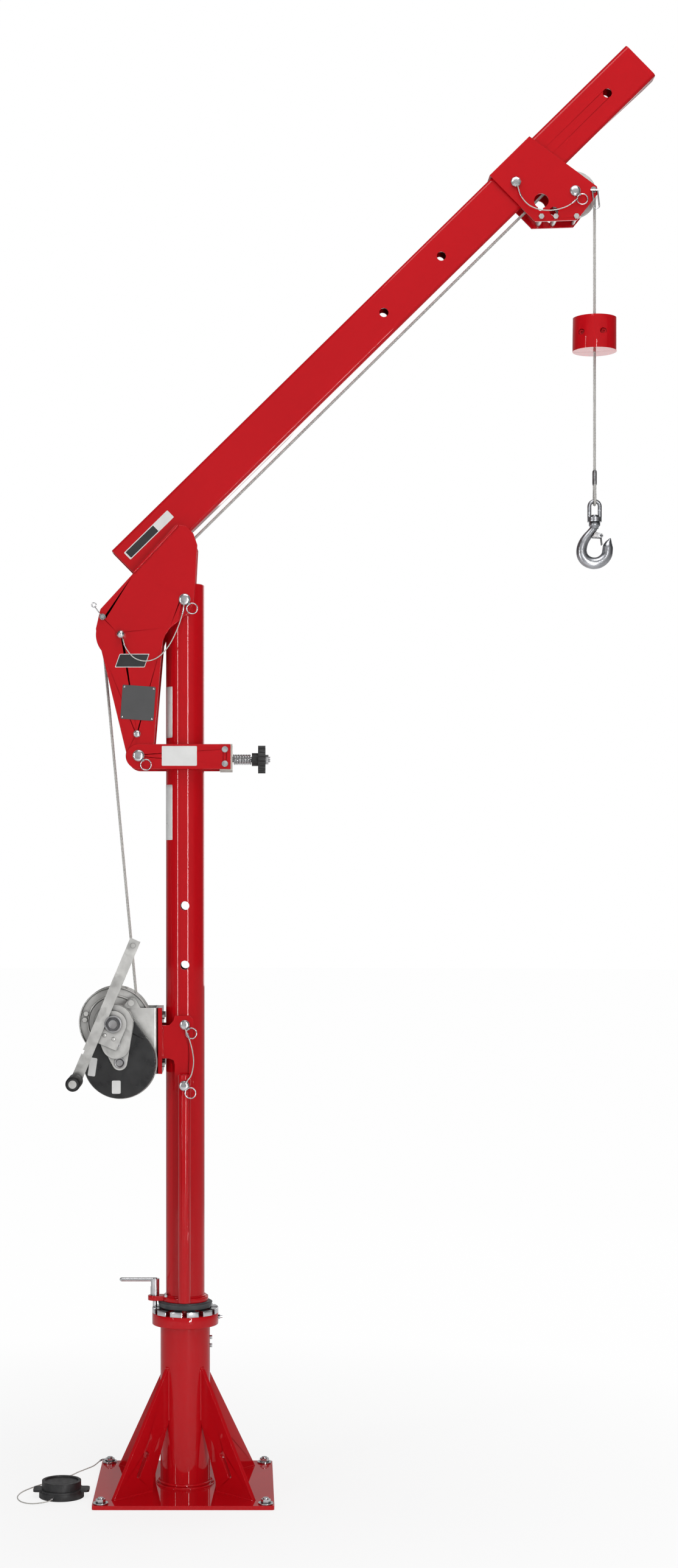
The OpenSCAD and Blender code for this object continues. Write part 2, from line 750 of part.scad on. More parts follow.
spring_x0 = block_x1 + gap;
spring_x1 = knob_x - gap;
spring_lead = 2 * spring_wire_r;
spring_steps = spring_curls * 8;
spring_points = [
  [spring_x0, spring_r, rod_z],
  for (i = [0:spring_steps])
    let (a = 360 * i / 8, x = spring_x0 + spring_lead + (spring_x1 - spring_x0 - 2 * spring_lead) * i / spring_steps)
    [x, spring_r * cos(a), rod_z + spring_r * sin(a)],
  [spring_x1, spring_r, rod_z]
];
spring_refs = [
  [0, 1, 0],
  for (i = [0:spring_steps]) [0, cos(360 * i / 8), sin(360 * i / 8)],
  [0, 1, 0]
];
spring_pitch = (spring_x1 - spring_x0 - 2 * spring_lead) / spring_curls;
echo("least gap between spring curls", min([
  for (i = [1:spring_steps - 8]) norm(spring_points[i + 8] - spring_points[i]) - 2 * spring_wire_r
]));

module clamp_spring() {
  color(zinc) tube(spring_points, spring_refs, spring_wire_r, 6);
}

module clamp_rod() {
  color(zinc) {
    xpin(0, rod_z, rod_r, mast_r + 4, 189);
    xpin(0, rod_z, 15, mast_r + gap, mast_r + 5);
    translate([185, 0, rod_z]) rotate([0, 90, 0]) cylinder(h = 7, r = 11, $fn = 6);
    xpin(0, rod_z, rod_r, 189, 196);
  }
}

module clamp_knob() {
  color(black) difference() {
    union() {
      xpin(0, rod_z, 15, knob_x, 169);
      xpin(0, rod_z, knob_r - 5, 168, 185);
      for (i = [0:7]) rotate_about_rod(45 * i) xpin(knob_r - 6, 0, 6, 168, 185);
    }
    xpin(0, rod_z, rod_r, knob_x - 1, 200);
  }
}

module rotate_about_rod(a) {
  translate([0, 0, rod_z]) rotate([a, 0, 0]) children();
}

module winch_bracket() {
  plate_x = frame_x + bracket_t;
  color(red) difference() {
    union() {
      translate([frame_x, -side_half, frame_low]) cube([bracket_t, 2 * side_half, frame_high - frame_low]);
      for (y = [-ear_out, ear_out - ear_t]) slab(y, y + ear_t) difference() {
        polygon([
          [plate_x - 1, 992], [plate_x - 1, 1068], [-36, 1068], [-26, 1078], [-23, 1090], [12, 1090],
          [19.6, 1082], [19.6, 920], [12, 912], [-15, 912], [-23, 920], [-23, 979], [-26, 988], [-36, 992]
        ]);
      }
    }
    for (z = [hole_z0, pin_high]) ypin(0, z, pin_r + fit, -60, 60);
    for (y = [-38, 38], z = [978, 1088]) xpin(y, z, 4 + fit, frame_x - 10, plate_x + 10);
  }
}

module bracket_pins() {
  color(chrome) {
    pull_pin(0, pin_high, pin_r, -ear_out, ear_out, 11);
    ypin(0, hole_z0, pin_r, -94, ear_out + 3);
    ypin(0, hole_z0, 11.5, -94, -91);
    ring_loop(14, -94.6, 917, 12, 1.4, 45);
    difference() {
      ypin(0, hole_z0, 14, handle_y + handle_r + gap, -ear_out);
      ypin(0, hole_z0, pin_r - 1, -80, 0);
    }
  }
}

module bracket_bolts() {
  color(zinc) for (y = [-38, 38], z = [978, 1088]) {
    xpin(y, z, 4, frame_x - side_t - 5, frame_x + bracket_t + 5);
    xpin(y, z, 7, frame_x - side_t - 4.5, frame_x - side_t, 6);
    xpin(y, z, 7, frame_x + bracket_t, frame_x + bracket_t + 5, 6);
  }
}

module swing_handle() {
  color(red) difference() {
    zpin(0, handle_y, handle_r, handle_low, handle_high);
    zpin(0, handle_y, handle_r - 2.6, handle_low - 1, handle_high + 1);
    ypin(0, hole_z0, pin_r + fit, -100, -50);
  }
}

module frame_outline() {
  polygon([
    [frame_x, frame_high], [-128, frame_high], [-190, 1085], [-190, 1060], [-165, 965],
    [-158, frame_low], [frame_x, frame_low]
  ]);
}

module winch_frame() {
  color(chrome) difference() {
    union() {
      intersection() {
        translate([0, 0, frame_low]) linear_extrude(frame_high - frame_low) difference() {
          translate([frame_x - 100, 0]) rounded(200, 2 * side_half, 8);
          translate([frame_x - side_t - 100, 0]) rounded(200, 2 * (side_half - side_t), 3);
        }
        slab(-side_half, side_half) frame_outline();
      }
      slab(-side_half, -side_half + side_t) {
        bar([pawl_x, pawl_z], [pawl_x + 14, frame_high - 12], 22);
        bar([pawl_x, pawl_z], [pawl_x - 4, frame_high - 12], 22);
      }
      ypin(pawl_x, pawl_z, 4, ratchet_y - 1, -side_half + side_t);
      ypin(pawl_x, pawl_z, 7, -80.7, -side_half);
      ypin(pawl_x, pawl_z, 7, ratchet_y - 4, ratchet_y - gap);
    }
    for (y = [-60, 50]) {
      ypin(drum_x, drum_z, crank_shaft_r + 3, y, y + 12);
      ypin(lay_x, lay_z, lay_shaft_r + 3, y, y + 12);
    }
    for (y = [-38, 38], z = [978, 1088]) xpin(y, z, 4 + fit, frame_x - 10, frame_x + 1);
  }
}

module winch_bushings() {
  color([0.7, 0.55, 0.25]) for (y = [-side_half - 2, side_half - side_t]) {
    difference() {
      ypin(drum_x, drum_z, crank_shaft_r + 3, y, y + 7);
      ypin(drum_x, drum_z, crank_shaft_r + fit, -80, 80);
    }
    difference() {
      ypin(lay_x, lay_z, lay_shaft_r + 3, y, y + 7);
      ypin(lay_x, lay_z, lay_shaft_r + fit, -80, 80);
    }
  }
}

module cover_outline(extra) {
  pear([lay_x, lay_z], 82 + extra, [drum_x, drum_z], 41 + extra);
}

module gear_cover() {
  color(black) difference() {
    slab(cover_y, back_plate_y) cover_outline(0);
    slab(cover_y + cover_wall, back_plate_y + 1) cover_outline(-cover_wall);
    ypin(drum_x, drum_z, 12, -90, -50);
    ypin(lay_x, lay_z, lay_shaft_r + 0.6, -90, -50);
  }
}

module cover_back_plate() {
  color(zinc) difference() {
    slab(back_plate_y, -side_half) cover_outline(3);
    ypin(drum_x, drum_z, crank_shaft_r + 3, -90, -50);
    ypin(lay_x, lay_z, lay_shaft_r + 3, -90, -50);
    ypin(pawl_x, pawl_z, 8, -90, -50);
  }
}

brake_x = -155;
brake_z = 1027;

module brake_plates() {
  color(zinc) difference() {
    union() {
      slab(strap_y, strap_y + 3) pear([drum_x, drum_z], 46, [lay_x, lay_z], 17);
      slab(brake_y, strap_y) pear([drum_x, drum_z], 44, [brake_x, brake_z], 32);
      ypin(brake_x, brake_z, 7, brake_y - 2.6, brake_y, 6);
      ypin(brake_x, brake_z, 8, strap_y, cover_y);
    }
    ypin(drum_x, drum_z, crank_shaft_r + 0.6, -110, -80);
    ypin(lay_x, lay_z, lay_shaft_r + fit, -110, -80);
  }
}

module rope_drum() {
  color(zinc) {
    turn_y(drum_x, drum_z) polygon([
      [crank_shaft_r + fit, -drum_half - 2.5], [flange_r, -drum_half - 2.5], [flange_r, -drum_half],
      [drum_r, -drum_half], [drum_r, drum_half], [flange_r, drum_half],
      [flange_r, drum_half + 2.5], [crank_shaft_r + fit, drum_half + 2.5]
    ]);
    ypin(-226, 1094, 6, -drum_half - 7.5, -drum_half - 2.5, 6);
    ypin(-229, 1080, 6, -drum_half - 7.5, -drum_half - 2.5, 6);
  }
}

module drum_gear() {
  color([0.55, 0.56, 0.57]) difference() {
    slab(drum_half + 2.5, drum_half + 9.5) translate([drum_x, drum_z])
      rotate(to_crank + 180) gear_teeth_2d(gear_teeth, 0.8);
    ypin(drum_x, drum_z, crank_shaft_r + fit, 0, 80);
  }
}

wrap_pitch = (2 * drum_half - 2 * (rope_r + 0.6)) / wrap_turns;
wrap_steps = 24 * wrap_turns;
wrap_start = rise_angle - 90 - 360 * wrap_turns;
wrap_points = [
  for (i = [0:wrap_steps])
    let (a = wrap_start + 15 * i, y = -wrap_y + (2 * wrap_y) * i / wrap_steps)
    [drum_x + wrap_r * cos(a), y, drum_z + wrap_r * sin(a)],
  leave + stub * rope_up
];
wrap_refs = [
  for (i = [0:wrap_steps]) let (a = wrap_start + 15 * i) [cos(a), 0, sin(a)],
  [rise_normal[0], 0, rise_normal[1]]
];
echo("least gap between rope turns", min([
  for (i = [0:wrap_steps - 25]) norm(wrap_points[i + 24] - wrap_points[i]) - 2 * rope_r
]));
echo("cap lanyard length", length_of(smooth(cap_route, 3)));
echo("pin lanyard lengths", [for (p = [knuckle_route, head_route, bracket_route]) length_of(smooth(p, 2))]);

module rope_winding() {
  color([0.75, 0.75, 0.72]) {
    tube(wrap_points, wrap_refs, rope_r, 6);
    difference() {
      ypin(drum_x, drum_z, wrap_r - rope_r - gap, -drum_half, drum_half, 72);
      ypin(drum_x, drum_z, drum_r, -drum_half - 1, drum_half + 1, 72);
    }
  }
}

module lay_shaft() {
  color([0.6, 0.61, 0.62]) {
    ypin(lay_x, lay_z, lay_shaft_r, strap_y - 4, side_half + 3);
    slab(drum_half + 3, drum_half + 10) translate([lay_x, lay_z])
      rotate(to_crank + 180 / pinion_teeth) gear_teeth_2d(pinion_teeth, 0.8);
  }
}

module lay_gear() {
  color([0.55, 0.56, 0.57]) difference() {
    slab(-75, -66) translate([lay_x, lay_z]) rotate(to_crank) gear_teeth_2d(gear_teeth, 0.8);
    ypin(lay_x, lay_z, lay_shaft_r, -90, 0);
  }
}

module crank_shaft() {
  color([0.6, 0.61, 0.62]) {
    ypin(drum_x, drum_z, crank_shaft_r, arm_y - 9, side_half + 3);
    slab(-76, -65) translate([drum_x, drum_z])
      rotate(to_crank + 180 + 180 / pinion_teeth) gear_teeth_2d(pinion_teeth, 0.8);
    slab(ratchet_y, ratchet_y + 5) translate([drum_x, drum_z]) polygon([
      for (i = [0:15]) each [
        36 * [cos(22.5 * i), sin(22.5 * i)], 30 * [cos(22.5 * i + 3), sin(22.5 * i + 3)]
      ]
    ]);
  }
}

module crank_arm() {
  color(zinc) {
    in_crank() difference() {
      union() {
        slab(arm_y, arm_y + 5) difference() {
          union() {
            translate([-crank_reach, crank_side - crank_w / 2]) square([crank_reach + 195.6, crank_w]);
            translate([-crank_reach, crank_side]) circle(crank_w / 2);
          }
          translate([-crank_reach + 60, crank_side + crank_w / 2 - 4]) square([10, 5]);
        }
        slab(hub_y, hub_y + 3) union() {
          translate([-53, -30]) square([53, 60]);
          circle(30);
        }
        ypin(181.6, crank_side, 5, arm_y - 3, arm_y + 6);
      }
      ypin(0, 0, crank_shaft_r, -130, 0);
    }
    in_crank() {
      ypin(-crank_reach, crank_side, 5, arm_y - 109, arm_y + 7);
      ypin(-crank_reach, crank_side, 9, arm_y + 5, arm_y + 8, 6);
      ypin(-crank_reach, crank_side, 9, arm_y - 110, arm_y - 106.3);
    }
    difference() {
      ypin(drum_x, drum_z, 15, arm_y - 8, hub_y, 6);
      ypin(drum_x, drum_z, crank_shaft_r, -130, 0);
    }
  }
}

module crank_grip() {
  color(black) in_crank() translate([-crank_reach, 0, crank_side]) difference() {
    union() {
      ypin(0, 0, 16.5, arm_y - 104, arm_y - 8);
      ypin(0, 0, 14, arm_y - 106, arm_y - 1);
    }
    ypin(0, 0, 5 + fit, -260, -90);
  }
}

module ratchet_pawl() {
  color(zinc) difference() {
    slab(ratchet_y, ratchet_y + 5) polygon([
      [-138, 1104.5], [-142, 1109],
      for (a = [130:-15:-65]) [pawl_x + 9 * cos(a), pawl_z + 9 * sin(a)]
    ]);
    ypin(pawl_x, pawl_z, 4 + fit, -100, -70);
  }
}

module rope_arc(x, z, r, from, to) {
  translate([x, 0, z]) rotate([90, 0, 0]) rotate([0, 0, to])
    rotate_extrude(angle = from - to, $fn = 96) translate([r, 0]) circle(rope_r - 0.03, $fn = 32);
}

module rope_run() {
  up_boom = [cos(reach_angle), 0, sin(reach_angle)];
  from = [sheave_x + knuckle_rope_r * cos(over), 0, sheave_z + knuckle_rope_r * sin(over)];
  to = [head_x + head_rope_r * cos(over), 0, head_z + head_rope_r * sin(over)];
  color([0.75, 0.75, 0.72]) {
    rod(leave + (stub + gap) * rope_up, arrive - 0.5 * rope_up, rope_r);
    rope_arc(sheave_x, sheave_z, knuckle_rope_r, rise_angle + 90, over);
    rod(from + 0.5 * up_boom, to - 0.5 * up_boom, rope_r);
    rope_arc(head_x, head_z, head_rope_r, over, 0);
    for (c = [arrive, from, to]) translate(c) sphere(rope_r + 0.15);
  }
}

module sheave(x, z, path_r) {
  rim = path_r + rim_depth;
  bore = small_pin_r + fit;
  color(zinc) turn_y(x, z) difference() {
    polygon([
      [bore, -hub_half], [16, -hub_half], [18, -5], [path_r - 11, -5], [path_r - 8, -sheave_half],
      [rim, -sheave_half], [rim, sheave_half], [path_r - 8, sheave_half], [path_r - 11, 5],
      [18, 5], [16, hub_half], [bore, hub_half]
    ]);
    translate([path_r, 0]) circle(rope_r + gap, $fn = 32);
    polygon([
      [path_r, -rope_r - gap], [rim + 1, -rope_r - 2.2], [rim + 1, rope_r + 2.2], [path_r, rope_r + gap]
    ]);
  }
}

module knuckle_sheave() {
  sheave(sheave_x, sheave_z, knuckle_rope_r);
}

module head_sheave() {
  sheave(head_x, head_z, head_rope_r);
}

module rope_drop() {
  color([0.75, 0.75, 0.72]) zpin(drop_x, 0, rope_r, weight_top, head_z);
}

module load_weight() {
  color(red) translate([drop_x, 0, 0]) difference() {
    zpin(0, 0, weight_r, weight_bottom, weight_top, 96);
    zpin(0, 0, rope_r + 0.1, weight_bottom - 1, weight_top + 1);
    rotate([0, 0, -15]) {
      translate([-60, -0.4, weight_bottom - 1]) cube([120, 0.8, weight_h + 2]);
      for (x = [-25, 25]) {
        ypin(x, weight_bottom + weight_h / 2, 7, -60, -30);
        ypin(x, weight_bottom + weight_h / 2, 3.1, -31, 30);
      }
    }
  }
  color(black) translate([drop_x, 0, 0]) rotate([0, 0, -15]) for (x = [-25, 25]) {
    ypin(x, weight_bottom + weight_h / 2, 3, -31, 29);
    difference() {
      ypin(x, weight_bottom + weight_h / 2, 6, -38, -30);
      ypin(x, weight_bottom + weight_h / 2, 3, -39, -34, 6);
    }
  }
}

ferrule_low = 2311;
ferrule_high = 2345;
eye_r = 9;
eye_z = 2275;

module rope_eye() {
  color([0.75, 0.75, 0.72]) {
    zpin(drop_x, 0, rope_r, ferrule_low + 5, weight_top);
    for (s = [-1, 1]) rod([drop_x, s * eye_r, eye_z], [drop_x, s * 3, ferrule_low + 2], rope_r);
    translate([drop_x, 0, eye_z]) rotate([90, 0, 90]) rotate([0, 0, 180])
      rotate_extrude(angle = 180) translate([eye_r, 0]) circle(rope_r, $fn = 32);
  }
  color(zinc) for (s = [-1, 1]) zpin(drop_x, s * 2.5, 6, ferrule_low, ferrule_high);
}

bail_r = 12;
bail_wire = 4.5;
bail_z = 2262.5;
swivel_z = 2222;

module hook_bail() {
  color(chrome) translate([drop_x, 0, 0]) {
    translate([0, 0, bail_z]) rotate([90, 0, 0])
      rotate_extrude(angle = 180) translate([bail_r, 0]) circle(bail_wire, $fn = 32);
    for (s = [-1, 1]) zpin(s * bail_r, 0, bail_wire + 0.15, 2232, bail_z + 1);
    difference() {
      zpin(0, 0, 16.5, swivel_z + 4, 2236);
      zpin(0, 0, 6 + fit, swivel_z, 2240);
    }
  }
}

module hook() {
  color(chrome) translate([drop_x, 0, hook_z]) {
    union() {
      rotate([90, 0, 0]) rotate([0, 0, 90])
        rotate_extrude(angle = 280, $fn = 48) translate([bowl_r, 0]) circle(hook_body_r, $fn = 24);
      translate([bowl_r * cos(12), 0, bowl_r * sin(12)]) sphere(hook_body_r + 0.4, $fn = 32);
      zpin(0, 0, 9, bowl_r - 2, swivel_z - hook_z);
      zpin(0, 0, 13, swivel_z - hook_z - 6, swivel_z - hook_z + 3.7);
      zpin(0, 0, 6, swivel_z - hook_z, 2244 - hook_z);
      zpin(0, 0, 7, 2236.3 - hook_z, 2243 - hook_z);
      for (y = [-9, 6.3]) slab(y, y + 2.7) {
        translate([0, latch_z - 5]) square([latch_x, 10]);
        translate([latch_x, latch_z]) circle(5);
      }
      ypin(latch_x, latch_z, 2, -8, 8);
    }
  }
}

module hook_latch() {
  color(zinc) translate([drop_x, 0, hook_z]) difference() {
    slab(-6, 6) {
      translate([latch_x, latch_z]) circle(3.8);
      bar([latch_x, latch_z], [16.4, 12], 2.5);
    }
    ypin(latch_x, latch_z, 2 + fit, -10, 10);
  }
}

base_plate();
anchor_bolts();
pedestal_tube();
gussets();
pedestal_collar();
index_ring();
mast_seal();
mast_bushings();
thrust_pad();
pedestal_fittings();
lanyard_tab();
cap_lanyard();
socket_cap();
mast_tube();
mast_flange();
plunger_barrel();
lock_plunger();
knuckle_plates();
knuckle_spacers();
knuckle_pins();
keeper_clip();
boom_tube();
head_sleeve();
head_pins();
head_spacers();
head_shackle();
pin_lanyards();
clamp_arms();
clamp_block();
clamp_screws();
clamp_spring();
clamp_rod();
clamp_knob();
winch_bracket();
bracket_pins();
bracket_bolts();
swing_handle();
winch_frame();
winch_bushings();
gear_cover();
cover_back_plate();
brake_plates();
rope_drum();
drum_gear();
rope_winding();
lay_shaft();
lay_gear();
crank_shaft();
crank_arm();
crank_grip();
ratchet_pawl();
rope_run();
knuckle_sheave();
head_sheave();
rope_drop();
load_weight();
rope_eye();
hook_bail();
hook();
hook_latch();
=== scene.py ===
"""A portable davit crane with a hand winch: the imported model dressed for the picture."""
import math

import bmesh
import bpy
from mathutils import Matrix, Vector


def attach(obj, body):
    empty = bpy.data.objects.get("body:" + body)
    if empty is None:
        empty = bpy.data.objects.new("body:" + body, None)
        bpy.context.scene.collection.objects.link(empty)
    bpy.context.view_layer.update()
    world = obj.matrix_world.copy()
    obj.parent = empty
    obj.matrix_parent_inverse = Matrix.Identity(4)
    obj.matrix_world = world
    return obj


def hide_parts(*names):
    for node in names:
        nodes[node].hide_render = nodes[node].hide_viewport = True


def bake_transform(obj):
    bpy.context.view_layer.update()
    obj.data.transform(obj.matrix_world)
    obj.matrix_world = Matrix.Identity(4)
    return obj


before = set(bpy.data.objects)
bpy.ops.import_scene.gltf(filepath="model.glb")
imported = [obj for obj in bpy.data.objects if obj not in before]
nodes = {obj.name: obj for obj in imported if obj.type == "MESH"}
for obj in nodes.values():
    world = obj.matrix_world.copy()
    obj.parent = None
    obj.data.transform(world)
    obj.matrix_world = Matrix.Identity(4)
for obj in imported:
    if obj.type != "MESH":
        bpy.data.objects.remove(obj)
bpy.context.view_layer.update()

MM = 0.001
TAU = 2 * math.pi


def at(x, y, z):
    """A point given in millimetres."""
    return Vector((x, y, z)) * MM


# ---------------------------------------------------------------- camera
lens = bpy.data.cameras.new("camera")
lens.lens = 54.1
lens.sensor_width = 36
lens.shift_x = 0.0602
lens.shift_y = 0.0571
lens.clip_end = 100
eye = bpy.data.objects.new("camera", lens)
eye.location = (0.137, -5.440, 1.415)
eye.rotation_euler = (math.pi / 2, 0, 0)
bpy.context.scene.collection.objects.link(eye)
bpy.context.scene.camera = eye


# ---------------------------------------------------------------- materials
def new_node(tree, kind, **values):
    """A node with its inputs and settings given by name."""
    n = tree.nodes.new(kind)
    for key, value in values.items():
        if key in n.inputs:
            n.inputs[key].default_value = value
        else:
            setattr(n, key, value)
    return n


class Mat:
    """A Principled material with its nodes, built up by the calls below."""

    def __init__(self, name, color, roughness=0.5, metallic=0.0, **fixed):
        self.material = bpy.data.materials.new(name)
        self.material.use_nodes = True
        self.tree = self.material.node_tree
        self.shader = self.tree.nodes["Principled BSDF"]
        self.color = (*color, 1)
        self.roughness = roughness
        self.shader.inputs["Base Color"].default_value = self.color
        self.shader.inputs["Roughness"].default_value = roughness
        self.shader.inputs["Metallic"].default_value = metallic
        for key, value in fixed.items():
            self.shader.inputs[key.replace("_", " ")].default_value = value
        self.height = None

    def node(self, kind, **values):
        return new_node(self.tree, kind, **values)

    def link(self, a, b):
        self.tree.links.new(a, b)

    def noise(self, scale, detail=3.0, stretch=(1, 1, 1)):
        """Noise of that many cells a metre."""
        size = self.node("ShaderNodeVectorMath", operation="MULTIPLY")
        size.inputs[1].default_value = stretch
        self.link(self.object_place(), size.inputs[0])
        n = self.node("ShaderNodeTexNoise", Scale=scale, Detail=detail)
        self.link(size.outputs[0], n.inputs["Vector"])
        return n.outputs["Fac"]

    def object_place(self):
        """Places in the piece's own frame, so that the pattern moves with it."""
        if not hasattr(self, "coords"):
            self.coords = self.node("ShaderNodeTexCoord").outputs["Object"]
        return self.coords

    def spread(self, value, low, high, out_low=0.0, out_high=1.0):
        """The value with low to high drawn out over out_low to out_high."""
        n = self.node("ShaderNodeMapRange")
        n.inputs["From Min"].default_value = low
        n.inputs["From Max"].default_value = high
        n.inputs["To Min"].default_value = out_low
        n.inputs["To Max"].default_value = out_high
        self.link(value, n.inputs["Value"])
        return n.outputs["Result"]

    def tint(self, amount, other):
        """Mixes another colour over the base by a value from 0 to 1."""
        n = self.node("ShaderNodeMix", data_type="RGBA")
        now = self.shader.inputs["Base Color"]
        if now.is_linked:
            self.link(now.links[0].from_socket, n.inputs[6])
        else:
            n.inputs[6].default_value = self.color
        n.inputs[7].default_value = (*other, 1)
        self.link(amount, n.inputs[0])
        self.link(n.outputs[2], now)
        return self

    def rough(self, value, low, high):
        """Roughness from low to high as the value goes from 0 to 1."""
        self.link(self.spread(value, 0.3, 0.7, low, high), self.shader.inputs["Roughness"])
        return self

    def bump(self, value, distance):
        """A bump of that many millimetres, over the ones before it."""
        n = self.node("ShaderNodeBump", Distance=distance * MM)
        self.link(value, n.inputs["Height"])
        if self.height:
            self.link(self.height, n.inputs["Normal"])
        self.height = n.outputs["Normal"]
        self.link(self.height, self.shader.inputs["Normal"])
        return self

    def painted_crevice_shade(self, dark, reach):
        """Painted shade: the base colour darkened in the corners by ambient occlusion, within that many
        millimetres.
        """
        n = self.node("ShaderNodeAmbientOcclusion", samples=6, Distance=reach * MM)
        return self.tint(self.spread(n.outputs["AO"], 0.92, 0.3), dark)


def red_paint():
    m = Mat("red_powder_coat", (0.53, 0.004, 0.009), 0.3, Coat_Weight=1.0, Coat_Roughness=0.035,
            Coat_IOR=1.4, Specular_IOR_Level=0.0)
    m.tint(m.spread(m.noise(3.2, 4), 0.35, 0.7), (0.5, 0.0034, 0.008))
    m.tint(m.spread(m.noise(900, 2), 0.6, 0.75, 0, 0.25), (0.6, 0.012, 0.016))
    m.rough(m.noise(14, 4), 0.22, 0.36)
    m.bump(m.noise(260, 1.5), 0.035)
    return m.material


def plate_zinc():
    m = Mat("zinc_plate", (0.66, 0.655, 0.635), 0.34, 1.0)
    m.tint(m.spread(m.noise(34, 5), 0.35, 0.7), (0.52, 0.515, 0.5))
    m.tint(m.spread(m.noise(260, 3), 0.58, 0.72, 0, 0.4), (0.5, 0.49, 0.47))
    # painted shade: the zinc darkens in the corners and between parts
    m.painted_crevice_shade((0.05, 0.05, 0.048), 14)
    m.rough(m.noise(60, 5), 0.3, 0.5)
    m.bump(m.noise(700, 2), 0.02)
    return m.material


def bright_metal():
    m = Mat("bright_zinc", (0.8, 0.8, 0.82), 0.16, 1.0)
    m.tint(m.spread(m.noise(80, 4), 0.4, 0.7), (0.66, 0.66, 0.68))
    # painted shade: the bright metal darkens in the corners and between parts
    m.painted_crevice_shade((0.04, 0.04, 0.042), 6)
    m.rough(m.noise(120, 4), 0.1, 0.26)
    m.bump(m.noise(600, 2), 0.01)
    return m.material


def forged_metal():
    m = Mat("forged_zinc", (0.56, 0.57, 0.6), 0.3, 1.0)
    m.tint(m.spread(m.noise(40, 3), 0.38, 0.68), (0.44, 0.45, 0.475))
    # painted shade: the forged metal darkens in the corners and hollows
    m.painted_crevice_shade((0.05, 0.05, 0.052), 10)
    m.rough(m.noise(80, 3), 0.24, 0.34)
    m.bump(m.noise(160, 2), 0.02)
    return m.material


def cut_steel():
    m = Mat("cut_steel", (0.42, 0.42, 0.43), 0.34, 1.0)
    m.tint(m.spread(m.noise(50, 5), 0.4, 0.7), (0.26, 0.25, 0.25))
    m.rough(m.noise(90, 4, (1, 6, 1)), 0.26, 0.5)
    m.bump(m.noise(500, 3, (1, 5, 1)), 0.03)
    return m.material


def dark_steel():
    m = Mat("dark_steel", (0.1, 0.1, 0.105), 0.42, 1.0)
    m.tint(m.spread(m.noise(60, 4), 0.4, 0.7), (0.17, 0.17, 0.175))
    m.rough(m.noise(90, 4), 0.36, 0.52)
    m.bump(m.noise(500, 2), 0.02)
    return m.material


def cover_black():
    m = Mat("black_paint", (0.012, 0.012, 0.013), 0.28, Coat_Weight=0.25, Coat_Roughness=0.12)
    m.tint(m.spread(m.noise(24, 5), 0.4, 0.7), (0.02, 0.02, 0.021))
    m.rough(m.noise(40, 5), 0.22, 0.42)
    m.bump(m.noise(500, 2), 0.03)
    return m.material


def dark_plastic():
    m = Mat("black_plastic", (0.018, 0.018, 0.019), 0.46)
    m.tint(m.spread(m.noise(60, 5), 0.4, 0.7), (0.032, 0.032, 0.033))
    m.rough(m.noise(90, 4), 0.38, 0.56)
    m.bump(m.noise(1400, 2), 0.04)
    return m.material


def seal_rubber():
    m = Mat("grey_rubber", (0.055, 0.06, 0.064), 0.5)
    m.tint(m.spread(m.noise(40, 5), 0.4, 0.7), (0.085, 0.09, 0.093))
    m.rough(m.noise(70, 4), 0.4, 0.6)
    m.bump(m.noise(900, 2), 0.05)
    return m.material


def bronze_metal():
    m = Mat("bronze", (0.52, 0.33, 0.14), 0.34, 1.0)
    m.tint(m.spread(m.noise(60, 4), 0.4, 0.7), (0.36, 0.21, 0.09))
    m.rough(m.noise(90, 4), 0.28, 0.46)
    return m.material


def nylon():
    m = Mat("white_nylon", (0.74, 0.73, 0.68), 0.42)
    m.tint(m.spread(m.noise(50, 4), 0.4, 0.7), (0.66, 0.65, 0.6))
    m.rough(m.noise(80, 4), 0.36, 0.5)
    return m.material


def wire_rope():
    m = Mat("wire_rope", (0.7, 0.69, 0.66), 0.42, 0.35)
    m.tint(m.spread(m.noise(300, 4), 0.45, 0.72), (0.46, 0.45, 0.43))
    # painted shade: the rope darkens between its strands
    m.painted_crevice_shade((0.16, 0.155, 0.15), 1.2)
    m.rough(m.noise(500, 3), 0.28, 0.5)
    m.bump(m.noise(1800, 2), 0.1)
    return m.material


def coated_cable():
    m = Mat("coated_cable", (0.46, 0.45, 0.42), 0.36, 0.25)
    m.tint(m.spread(m.noise(700, 3), 0.4, 0.65), (0.72, 0.71, 0.67))
    m.rough(m.noise(600, 3), 0.28, 0.46)
    m.bump(m.noise(1500, 2), 0.15)
    return m.material


def pale_block():
    m = Mat("pale_block", (0.6, 0.58, 0.52), 0.44)
    m.tint(m.spread(m.noise(40, 5), 0.4, 0.7), (0.5, 0.48, 0.43))
    m.rough(m.noise(90, 4), 0.38, 0.56)
    m.bump(m.noise(600, 3), 0.05)
    return m.material


def label(name, color, rough=0.32):
    """Coated paper or plate, with nothing printed on it."""
    m = Mat(name, color, rough, Coat_Weight=0.2, Coat_Roughness=0.1)
    m.tint(m.spread(m.noise(30, 4), 0.4, 0.7), tuple(c * 0.93 for c in color))
    m.rough(m.noise(60, 4), rough - 0.06, rough + 0.1)
    m.bump(m.noise(160, 3), 0.03)
    return m.material


RED = red_paint()
ZINC = plate_zinc()
CHROME = bright_metal()
STEEL = cut_steel()
FORGED = forged_metal()
DARK = dark_steel()
BLACK = cover_black()
PLASTIC = dark_plastic()
RUBBER = seal_rubber()
BRONZE = bronze_metal()
NYLON = nylon()
ROPE = wire_rope()
CABLE = coated_cable()
BLOCK = pale_block()
WHITE_LABEL = label("white_label", (0.78, 0.78, 0.77))
BLACK_LABEL = label("black_label", (0.02, 0.02, 0.022), 0.34)
DATA_LABEL = label("data_plate", (0.07, 0.07, 0.072), 0.4)


